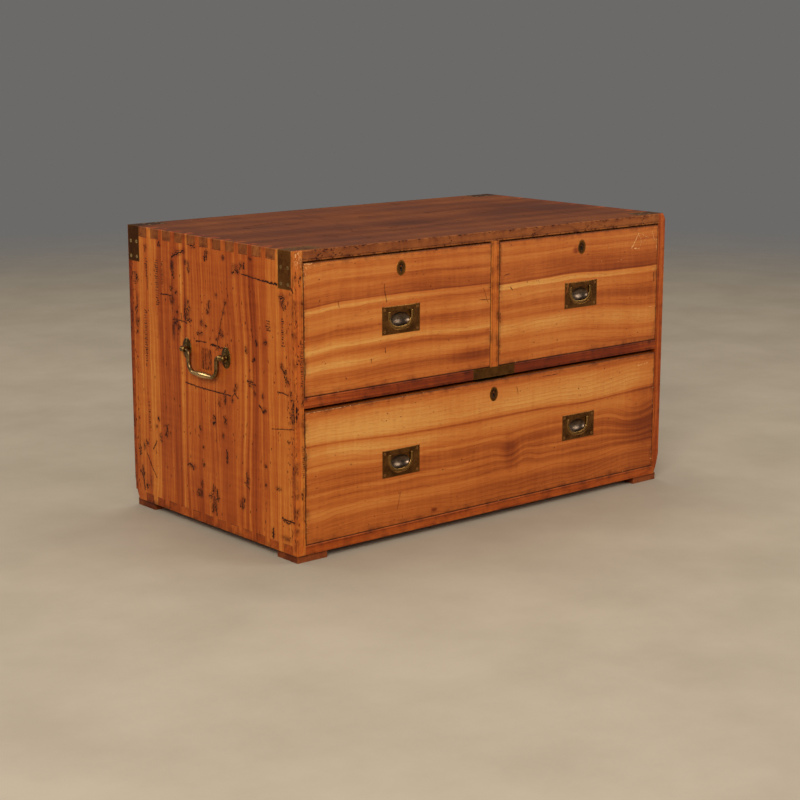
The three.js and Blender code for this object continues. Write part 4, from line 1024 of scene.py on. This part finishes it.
bar_sides = 24
for side, side_name in ((-1, "left"), (1, "right")):
    bar_x = side * (side_face + bar_stand_off)
    for end, end_name in ((-1, "front"), (1, "back")):
        node = f"{end_name}_{side_name}_handle_rose"
        rose_y = handle_y + end * rose_half_spacing
        rose = new_shape("worn")

        def on_rose(radius, height, angle, tall=1):
            above = handle_z + radius * tall * math.sin(angle)
            return (side * (side_face + height), rose_y + radius * math.cos(angle), above)

        def on_dome(radius, height, angle):
            return on_rose(radius, height, angle, rose_half_height / rose_half_width)

        dome = [(rose_half_width, 0), (rose_half_width, 0.7), (rose_half_width - 0.3, 1.1)]
        for step in range(1, 13):
            out = 1 - step / 12
            height = rose_rim + (rose_crown - rose_rim) * math.cos(out * math.pi / 2)
            dome.append(((rose_half_width - 0.6) * out, height))
        add_lathe(rose, on_dome, dome, 48, lambda radius, height: 0.5 if height > 3 else 0.0)

        neck = [(neck_radius + 1.6, 2.6), (neck_radius + 0.5, 3.8), (neck_radius, 5.2),
                (neck_radius, bar_stand_off)]
        add_lathe(rose, on_rose, neck, 28)

        def on_barrel(radius, height, angle):
            above = handle_z + radius * math.sin(angle)
            return (bar_x + radius * math.cos(angle), rose_y - end * height, above)

        barrel = [(0, -barrel_half)]
        for step in range(1, 9):
            turn = math.radians(11.25 * step)
            height = barrel_radius * (1 - math.cos(turn)) - barrel_half
            barrel.append((barrel_radius * math.sin(turn), height))
        barrel += [(barrel_radius, 4), (barrel_radius + 0.5, 4.6), (barrel_radius + 0.5, 6.4),
                   (barrel_radius, 7), (barrel_radius, 7.6), (barrel_radius - 0.4, barrel_half),
                   (pin_radius + 0.3, barrel_half), (pin_radius + 0.3, 4), (0, 4)]
        add_lathe(rose, on_barrel, barrel, 32, lambda radius, height: 0.7 if radius > barrel_radius else 0.25)
        for above in (-1, 1):
            spot = (side * (side_face + rose_screw_out), rose_y, handle_z + above * rose_screw_rise)
            add_head(rose, spot, (side, 0, above * 0.13), 2.7, 0.35, turn=between(0, math.pi), worn=0.9)
        metal = aged_brass(f"worn_rose_{end_name}_{side_name}", node, "#3a230c", "#ab8548", wear=0.7,
                           roughness=(0.26, 0.46), seed=11 + end + 2 * side)
        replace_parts(new_piece(f"{node}_cast", rose, [metal, wax_and_keyhole_shade], "carcass"), node)

    node = side_name + "_carrying_handle"
    middle_line = handle_line()
    rings = []
    for (across, up), (way_y, way_z) in middle_line:
        radius = bar_radius(abs(across))
        ring = []
        for turn in range(bar_sides):
            angle = math.tau * turn / bar_sides
            off = radius * math.cos(angle)
            spot = (handle_y + across - way_z * off, handle_z + up + way_y * off)
            ring.append((bar_x + radius * math.sin(angle), *spot))
        rings.append(ring)

    def grip_wear(place, turn):
        across = abs(middle_line[place][0][0])
        outer = 0.5 + 0.5 * side * math.sin(math.tau * turn / bar_sides)
        return max(0, 1 - across / grip_wear_end) * (0.45 + 0.55 * outer)

    bail = new_shape("worn")
    add_sweep(bail, rings, grip_wear)
    metal = aged_brass(f"worn_{side_name}_grip", node, "#4a3014", "#cfab72", wear=0.95,
                       roughness=(0.24, 0.42), seed=15 + side)
    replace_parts(new_piece(node + "_cast", bail, [metal], side_name + "_carrying_bail"), node)

# The drawer fronts are the best boards of the chest, planed thin-grained camphor with gold ribbons, bent
# lines and a crotch swirl in the long one. They are lighter than the case, and rubbed along their edges.
front_tones = [(0.0, "#692a0b"), (0.25, "#8a4113"), (0.5, "#a65820"), (0.75, "#b46d2e"), (1.0, "#c18844")]
left_front = [
    (0.0, 0.42), (0.05, 0.5), (0.1, 0.36), (0.135, 0.3), (0.17, 0.55), (0.215, 0.78), (0.26, 0.62),
    (0.295, 0.34), (0.32, 0.45), (0.355, 0.88), (0.4, 0.72), (0.44, 0.45), (0.475, 0.32), (0.5, 0.55),
    (0.535, 0.74), (0.57, 0.6), (0.62, 0.48), (0.655, 0.8), (0.68, 0.6), (0.688, 0.12), (0.7, 0.3),
    (0.75, 0.36), (0.8, 0.55), (0.835, 0.34), (0.86, 0.6), (0.9, 0.66), (0.93, 0.45), (0.97, 0.56),
    (1.0, 0.5),
]
right_front = [
    (0.0, 0.4), (0.04, 0.52), (0.08, 0.35), (0.12, 0.55), (0.16, 0.62), (0.2, 0.48), (0.25, 0.72),
    (0.3, 0.8), (0.345, 0.7), (0.39, 0.4), (0.43, 0.52), (0.47, 0.32), (0.52, 0.5), (0.56, 0.66),
    (0.6, 0.58), (0.62, 0.86), (0.65, 0.8), (0.66, 0.14), (0.68, 0.3), (0.76, 0.34), (0.82, 0.44),
    (0.87, 0.6), (0.9, 0.42), (0.94, 0.58), (1.0, 0.46),
]
long_front = [
    (0.0, 0.3), (0.086, 0.36), (0.137, 0.32), (0.184, 0.48), (0.224, 0.55), (0.263, 0.3), (0.294, 0.46),
    (0.32, 0.3), (0.357, 0.52), (0.388, 0.28), (0.42, 0.44), (0.459, 0.3), (0.498, 0.34), (0.53, 0.62),
    (0.553, 0.4), (0.584, 0.58), (0.635, 0.72), (0.678, 0.6), (0.698, 0.22), (0.71, 0.62), (0.74, 0.8),
    (0.79, 0.84), (0.85, 0.8), (0.92, 0.7), (0.95, 0.46), (1.0, 0.4),
]
# Each front's stripes from its low edge to its top, its swirls and its stains
fronts = {
    "left_drawer": (left_front, [(-470, 414, 130, 170, 9), (-60, 380, 150, 60, 4)],
                    [(-60, 450, 160, 16, -0.14), (-50, 330, 110, 24, -0.16), (-380, 345, 140, 60, 0.1)]),
    "right_drawer": (right_front, [(450, 350, 260, 110, 14), (200, 480, 160, 60, -5)],
                     [(120, 345, 180, 50, 0.08), (330, 460, 160, 20, -0.1), (214, 503, 14, 12, -0.45)]),
    "long_drawer": (long_front, [(42, 133, 50, 46, 9), (86, 112, 46, 40, -7), (395, 142, 110, 70, 16),
                                 (-150, 44, 15, 11, 5), (-420, 200, 240, 70, -9), (250, 210, 200, 50, 6)],
                    [(440, 140, 120, 140, -0.3), (46, 126, 34, 56, -0.26), (-290, 200, 280, 70, 0.14),
                     (-150, 44, 12, 8, -0.4), (-330, 90, 160, 50, 0.08), (160, 60, 240, 40, -0.1)]),
}
# Knocks keep clear of the brass
brass_gap = 4
front_brass = []
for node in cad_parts:
    if node.endswith(("_handle_plate", "_escutcheon")):
        low, high = [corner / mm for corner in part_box(node)]
        front_brass.append((low[0] - brass_gap, low[2] - brass_gap, high[0] + brass_gap, high[2] + brass_gap))
# Each front's scratches: width, depth and path. Depths below zero are pale scrapes
front_scratches = {
    "left_drawer": [
        (1.4, 1.4, (-270, 482), (-268, 466), (-264, 448)), (1.2, 1.2, (-375, 462), (-372, 450)),
        (1.6, 1.2, (-268, 366), (-267, 356)), (1.6, 1.2, (-300, 350), (-299, 342)),
        (2.0, -1.4, (-448, 532), (-430, 532)), (1.4, -1.0, (-449, 530), (-449, 500)),
        (2.0, -1.2, (-446, 528), (-441, 522)), (1.6, -1.1, (-440, 529), (-434, 524)),
        (1.6, -1.2, (-447, 520), (-444, 512)), (1.6, -1.1, (-428, 530), (-424, 527)),
        (1.2, 1.2, (-449, 450), (-449, 400)), (1.4, 1.2, (-446, 360), (-448, 330)),
        (1.2, 1.2, (-40, 430), (-14, 428)), (1.0, 1.0, (-30, 452), (-16, 420)),
    ],
    "right_drawer": [
        (2.6, -1.3, (372, 492), (384, 508), (392, 522)), (2.6, -1.3, (380, 491), (396, 491)),
        (1.7, -1.0, (402, 520), (414, 512), (424, 510)), (1.7, -1.1, (432, 522), (436, 510), (443, 501)),
        (1.5, -0.9, (404, 498), (418, 516)), (1.5, -0.9, (398, 512), (410, 500), (426, 497)),
        (1.7, -1.0, (392, 520), (400, 504), (398, 494)), (1.7, -1.1, (446, 506), (447, 484)),
        (1.3, -0.9, (306, 508), (307, 494)), (1.3, -0.9, (331, 514), (333, 496)),
        (1.5, -0.8, (280, 474), (300, 477)), (2.2, 1.2, (440, 440), (441, 420)),
        (1.8, -1.0, (428, 370), (440, 366)), (1.3, -0.8, (330, 468), (350, 474)),
        (1.6, 1.0, (24, 470), (38, 472)), (1.2, 1.2, (14, 530), (14, 470)),
        (1.2, 1.1, (14, 400), (14, 320)), (2.0, 1.3, (40, 446), (46, 440)),
        (1.2, 1.0, (190, 418), (196, 440)),
    ],
    "long_drawer": [
        (1.6, -0.9, (-446, 270), (-360, 271)), (1.6, 1.0, (130, 262), (170, 262)),
        (2.4, -0.9, (395, 250), (430, 252)), (1.2, 1.0, (-240, 60), (-232, 92)),
        (1.2, 1.1, (60, 250), (64, 236)), (1.2, 1.2, (-447, 200), (-448, 120)),
    ],
}
for number, (drawer, (figure, swirls, stains)) in enumerate(fronts.items()):
    node = drawer + "_front"
    # The arrises round each front are blackened by packed dirt and by painted shade of the gaps
    wood = camphor(
        "waxed_camphor_" + node, node, x_axis, z_axis, figure, front_tones, seed=30 + number, sway=2.2,
        ring=8, fade=-0.1, swirls=swirls, stains=stains, roughness=(0.36, 0.48), rub=0.1, grime=0.5,
        packed_dirt_and_shade=0.8,
    )
    low, high = [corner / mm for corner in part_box(node)]
    on_drawer = on_board(low[0], high[0], low[2], high[2])
    marks = new_shape("dent")
    for width, depth, *path in front_scratches[drawer]:
        add_scratch(marks, on_drawer, path, width, depth)
    wide = high[0] - low[0]
    for _ in range(int(wide / 7)):
        across, up = between(low[0] + 6, high[0] - 6), between(low[2] + 6, high[2] - 6)
        if not any(left < across < right and under < up < over for left, under, right, over in front_brass):
            add_dent(marks, on_drawer, across, up, between(1.5, 6), between(1.2, 3.5),
                     about(0, 0.5), between(0.5, 1.0), 7)
    for _ in range(int(wide / 16)):
        across = chance.choice((low[0] + 2, high[0] - 2, between(low[0], high[0])))
        if across in (low[0] + 2, high[0] - 2):
            up = between(low[2] + 8, high[2] - 8)
        else:
            up = chance.choice((low[2], high[2] - 2)) + 1
        add_dent(marks, on_drawer, across, up, between(1.5, 4), between(1.5, 4), 0.0,
                 chance.choice((-1.0, 0.9, 1.0)), 7)
    new_piece(drawer + "_front_scars", marks, [wood], drawer)

# Each drawer is a box of thin camphor boards, lap dovetailed to its front and dovetailed through at the
# back, with a loose bottom in grooves. It was never finished and stays pale and dry.
for number, drawer in enumerate(fronts):
    for wall, along, across in (("left_side", y_axis, z_axis), ("right_side", y_axis, z_axis),
                                ("back", x_axis, z_axis), ("bottom", x_axis, y_axis)):
        node = f"{drawer}_{wall}"
        camphor(
            "dry_camphor_" + node, node, along, across, inside_figure, inside_tones,
            seed=40 + 5 * number + len(wall), sway=5, ring=12, roughness=(0.68, 0.82), grime=0.25,
        )

# A lock is let into each front's back and top edge: a brass case, its bolt, and four screws. Inside the
# chest the brass has stayed yellow.
for drawer in fronts:
    case, bolt = drawer + "_lock_case", drawer + "_lock_bolt"
    finish_with(case, aged_brass("cut_brass_" + case, case, "#5f4a26", "#c09c5c", wear=0.4))
    metal = aged_brass("cut_brass_" + bolt, bolt, "#6a5430", "#cba868", wear=0.6, roughness=(0.26, 0.4))
    finish_with(bolt, metal)
    low, high = [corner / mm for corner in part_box(case)]
    middle, top = (low[0] + high[0]) / 2, high[2]
    screws = new_shape("worn")
    for across in (-25, 25):
        for down in (8, 34):
            spot = (middle + across, high[1], top - down)
            add_head(screws, spot, (0, 1, 0), 2.4, 0.08, turn=between(0, math.pi))
    new_piece(drawer + "_lock_screws", screws, [screw_brass, wax_and_keyhole_shade], drawer)

# The escutcheons are oval plates of cast brass let in flush round each keyhole, with the arris of the
# hole worn round by keys.
oval_half_width = 10.5
oval_half_height = 14
key_rise = 3.5


def reach(inside, angle):
    """How far a form goes out from its middle at an angle, in mm; inside tells whether a place is in it."""
    near, far = 0.0, 80.0
    for _ in range(30):
        half_way = (near + far) / 2
        if inside(half_way * math.cos(angle), half_way * math.sin(angle)):
            near = half_way
        else:
            far = half_way
    return near


def add_loops(shape, centre, angles, loops, filled=False):
    """A plate face made of loops round its middle, each a form, how much it is grown, its depth and wear."""
    layer = shape.verts.layers.float["worn"]
    rings = []
    for inside, grown, depth, worn in loops:
        ring = []
        for angle in angles:
            out = reach(inside, angle) + grown
            right, above = centre[0] + out * math.cos(angle), centre[1] + out * math.sin(angle)
            ring.append(add_corner(shape, layer, Vector((right, depth - chest_back, above)) * mm, worn))
        rings.append(ring)
    rows = join_rings(shape, rings)
    if filled:
        rows.append([shape.faces.new(rings[-1])])
    return rows


def in_escutcheon(right, above):
    """Whether a place, in mm from the middle of the keyhole's round, lies in the plate."""
    return (right / oval_half_width) ** 2 + ((above + key_rise) / oval_half_height) ** 2 < 1


def in_keyhole(right, above):
    return math.hypot(right, above) < 3.2 or (abs(right) < 2.1 and -10.5 < above < 0)


def in_bore(right, above):
    return math.hypot(right, above) < 2 or (abs(right) < 1.2 and -7 < above < 0)


loop_corners = 96
even_turns = [math.tau * turn / loop_corners for turn in range(loop_corners)]
for drawer in fronts:
    node = drawer + "_escutcheon"
    low, high = [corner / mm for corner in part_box(node)]
    key_centre = ((low[0] + high[0]) / 2, (low[2] + high[2]) / 2 + key_rise)
    oval = new_shape("worn")
    rows = add_loops(oval, key_centre, even_turns, [
        (in_escutcheon, 0, 1.6, 0.0), (in_escutcheon, 0, 0.45, 0.7), (in_escutcheon, -0.35, 0.12, 1.0),
        (in_escutcheon, -1.3, 0.06, 0.8), (in_escutcheon, -2.2, 0.06, 0.2), (in_keyhole, 1.6, 0.02, 0.0),
        (in_keyhole, 0.4, 0.02, 0.0), (in_keyhole, 0.1, 0.2, 0.3), (in_keyhole, 0, 0.5, 0.0),
        (in_keyhole, 0, 1.5, 0.0), (in_bore, 0, 1.5, 0.0), (in_bore, 0, 8.0, 0.0),
    ])
    # The keyhole's walls, its floor and the bore behind it are lined with painted shade
    for face in rows[-3] + rows[-2] + rows[-1]:
        face.material_index = 1
    metal = aged_brass("tarnished_" + node, node, "#241207", "#865724", wear=0.7, seed=20)
    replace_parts(new_piece(node + "_cast", oval, [metal, wax_and_keyhole_shade], drawer), node)

# Each flush handle is a cast brass plate let into the drawer front, dished for the fingers, with a flat
# bail that drops into a pocket round the cup. The bails are worn bright, and the cups hold grey grime.
plate_half_width = 44.5
plate_half_height = 25.5
cup_half_width = 23
cup_half_height = 14
cup_depth = 12
pocket_depth = 3.2
pivot_rise = 14.5
strip_half = 2.5
strip_half_thick = 1.2
strip_round = 0.6
bail_half = 29.5
bail_round = 24
bail_reach = 32
play = 0.6


def in_plate(right, above):
    """Whether a place, in mm from the middle of the plate, lies in it."""
    return abs(right) < plate_half_width and abs(above) < plate_half_height


def in_cup(right, above):
    return (right / cup_half_width) ** 2 + (above / cup_half_height) ** 2 < 1


def in_pocket(right, above):
    bend_right, bend_above = bail_half - bail_round, pivot_rise - bail_reach + bail_round
    if abs(right) > bail_half + play or above > pivot_rise + strip_half_thick + play:
        return False
    if abs(right) > bend_right and above < bend_above:
        return math.hypot(abs(right) - bend_right, above - bend_above) < bail_round + play
    return above > pivot_rise - bail_reach - play


def bail_line():
    """Middle line of the flush bail, as place and direction, from its left eye round to its right one."""
    half = bail_half - strip_half
    bend = bail_round - strip_half
    low = pivot_rise - bail_reach + strip_half
    points = [((-half, pivot_rise), (0, -1)), ((-half, (pivot_rise + low + bend) / 2), (0, -1))]
    for step in range(17):
        turn = math.radians(180 + 90 * step / 16)
        spot = (bend - half + bend * math.cos(turn), low + bend + bend * math.sin(turn))
        points.append((spot, (-math.sin(turn), math.cos(turn))))
    points.append(((0, low), (1, 0)))
    return points + other_half(points)


# Section of the bail's strip with its arrises rounded: sideways, then out of the plate
strip_section = []
for corner_side, corner_out, first in ((1, 1, 0), (-1, 1, 90), (-1, -1, 180), (1, -1, 270)):
    for step in range(4):
        turn = math.radians(first + 30 * step)
        off = corner_side * (strip_half - strip_round) + strip_round * math.cos(turn)
        out = corner_out * (strip_half_thick - strip_round) + strip_round * math.sin(turn)
        strip_section.append((off, out))

# Loops of the plate have a corner at each turn, also where the plate and its pocket have sharp ones

corner_turn = math.atan2(plate_half_height, plate_half_width)
pocket_turn = math.atan2(pivot_rise + strip_half_thick + play, bail_half + play)
sharp_turns = [math.pi * half_turn + sign * corner_turn for half_turn in (0, 1) for sign in (-1, 1)]
sharp_turns += [pocket_turn, math.pi - pocket_turn]
plate_turns = sorted({turn % math.tau for turn in even_turns + sharp_turns})
# Each handle, and the drawer that it is let into
handles = {
    "upper_left": "left_drawer", "upper_right": "right_drawer", "lower_left": "long_drawer",
    "lower_right": "long_drawer",
}
for number, (handle, drawer) in enumerate(handles.items()):
    node = handle + "_handle_plate"
    low, high = [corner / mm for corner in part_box(node)]
    plate_x, plate_z = (low[0] + high[0]) / 2, high[2] - plate_half_height
    plate = new_shape("worn")
    loops = [
        (in_plate, 0, 4.5, 0.0), (in_plate, 0, 0.5, 0.4), (in_plate, -0.15, 0.15, 1.0),
        (in_plate, -0.5, 0.0, 0.5), (in_plate, -2.0, 0.02, 0.0), (in_pocket, 1.2, 0.02, 0.0),
        (in_pocket, 0.4, 0.02, 0.5), (in_pocket, 0.1, 0.2, 0.9), (in_pocket, 0, 0.6, 0.2),
        (in_pocket, 0, 3.0, 0.0), (in_pocket, -0.2, pocket_depth, 0.0), (in_cup, -0.2, pocket_depth, 0.1),
        (in_cup, -0.8, pocket_depth + 0.3, 0.7),
    ]
    cup_row = len(loops) - 1
    for step in range(1, 15):
        sunk = math.radians(18 + 5 * step)

        def in_dish(right, above, share=math.cos(sunk)):
            return in_cup(right / share, above / share)

        loops.append((in_dish, 0, cup_depth * math.sin(sunk), 0.0))
    rows = add_loops(plate, (plate_x, plate_z), plate_turns, loops, True)
    for row in rows[cup_row:]:
        for face in row:
            face.material_index = 2
    for right in (-1, 1):
        for above in (-1, 1):
            screw_x = plate_x + right * (plate_half_width - 6)
            screw_z = plate_z + above * (plate_half_height - 5.5)
            spot = (screw_x, -chest_back, screw_z)
            add_head(plate, spot, (0, -1, 0), 2.9, 0.04, turn=between(0, math.pi), worn=0.9)
    metal = aged_brass("tarnished_" + node, node, "#3e240e", "#966430", wear=0.6, seed=30 + number)
    grimy = aged_brass("grimy_cup_" + node, node, "#4c3d32", "#a8927c", wear=0.0, roughness=(0.24, 0.36),
                       seed=35 + number)
    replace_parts(new_piece(node + "_cast", plate, [metal, wax_and_keyhole_shade, grimy], drawer), node)

    node = handle + "_handle_bail"
    pivot_z = plate_z + pivot_rise
    strip_y = 0.5 + strip_half_thick - chest_back
    rings = []
    for (right, above), (way_x, way_z) in bail_line():
        ring = []
        for off, out in strip_section:
            ring.append((plate_x + right - way_z * off, strip_y - out, plate_z + above + way_x * off))
        rings.append(ring)
    bail = new_shape("worn")
    add_sweep(bail, rings, lambda place, turn: 1.0 if 0.7 < strip_section[turn][1] < 1.15 else 0.15)
    for side in (-1, 1):
        def on_eye(radius, height, angle):
            out, up = strip_y + radius * math.cos(angle), pivot_z + radius * math.sin(angle)
            return (plate_x + side * (bail_half + height), out, up)

        eye = [(0, -6), (1.0, -6), (strip_half_thick, -5.7), (strip_half_thick, -0.3), (1.0, 0), (0.9, 0),
               (0.9, 1.8), (0.7, 2), (0, 2)]
        add_lathe(bail, on_eye, eye, 20)
    metal = aged_brass("worn_" + node, node, "#432b12", "#b58a4c", wear=0.7, roughness=(0.26, 0.42),
                       seed=40 + number)
    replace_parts(new_piece(node + "_cast", bail, [metal], handle + "_bail"), node)
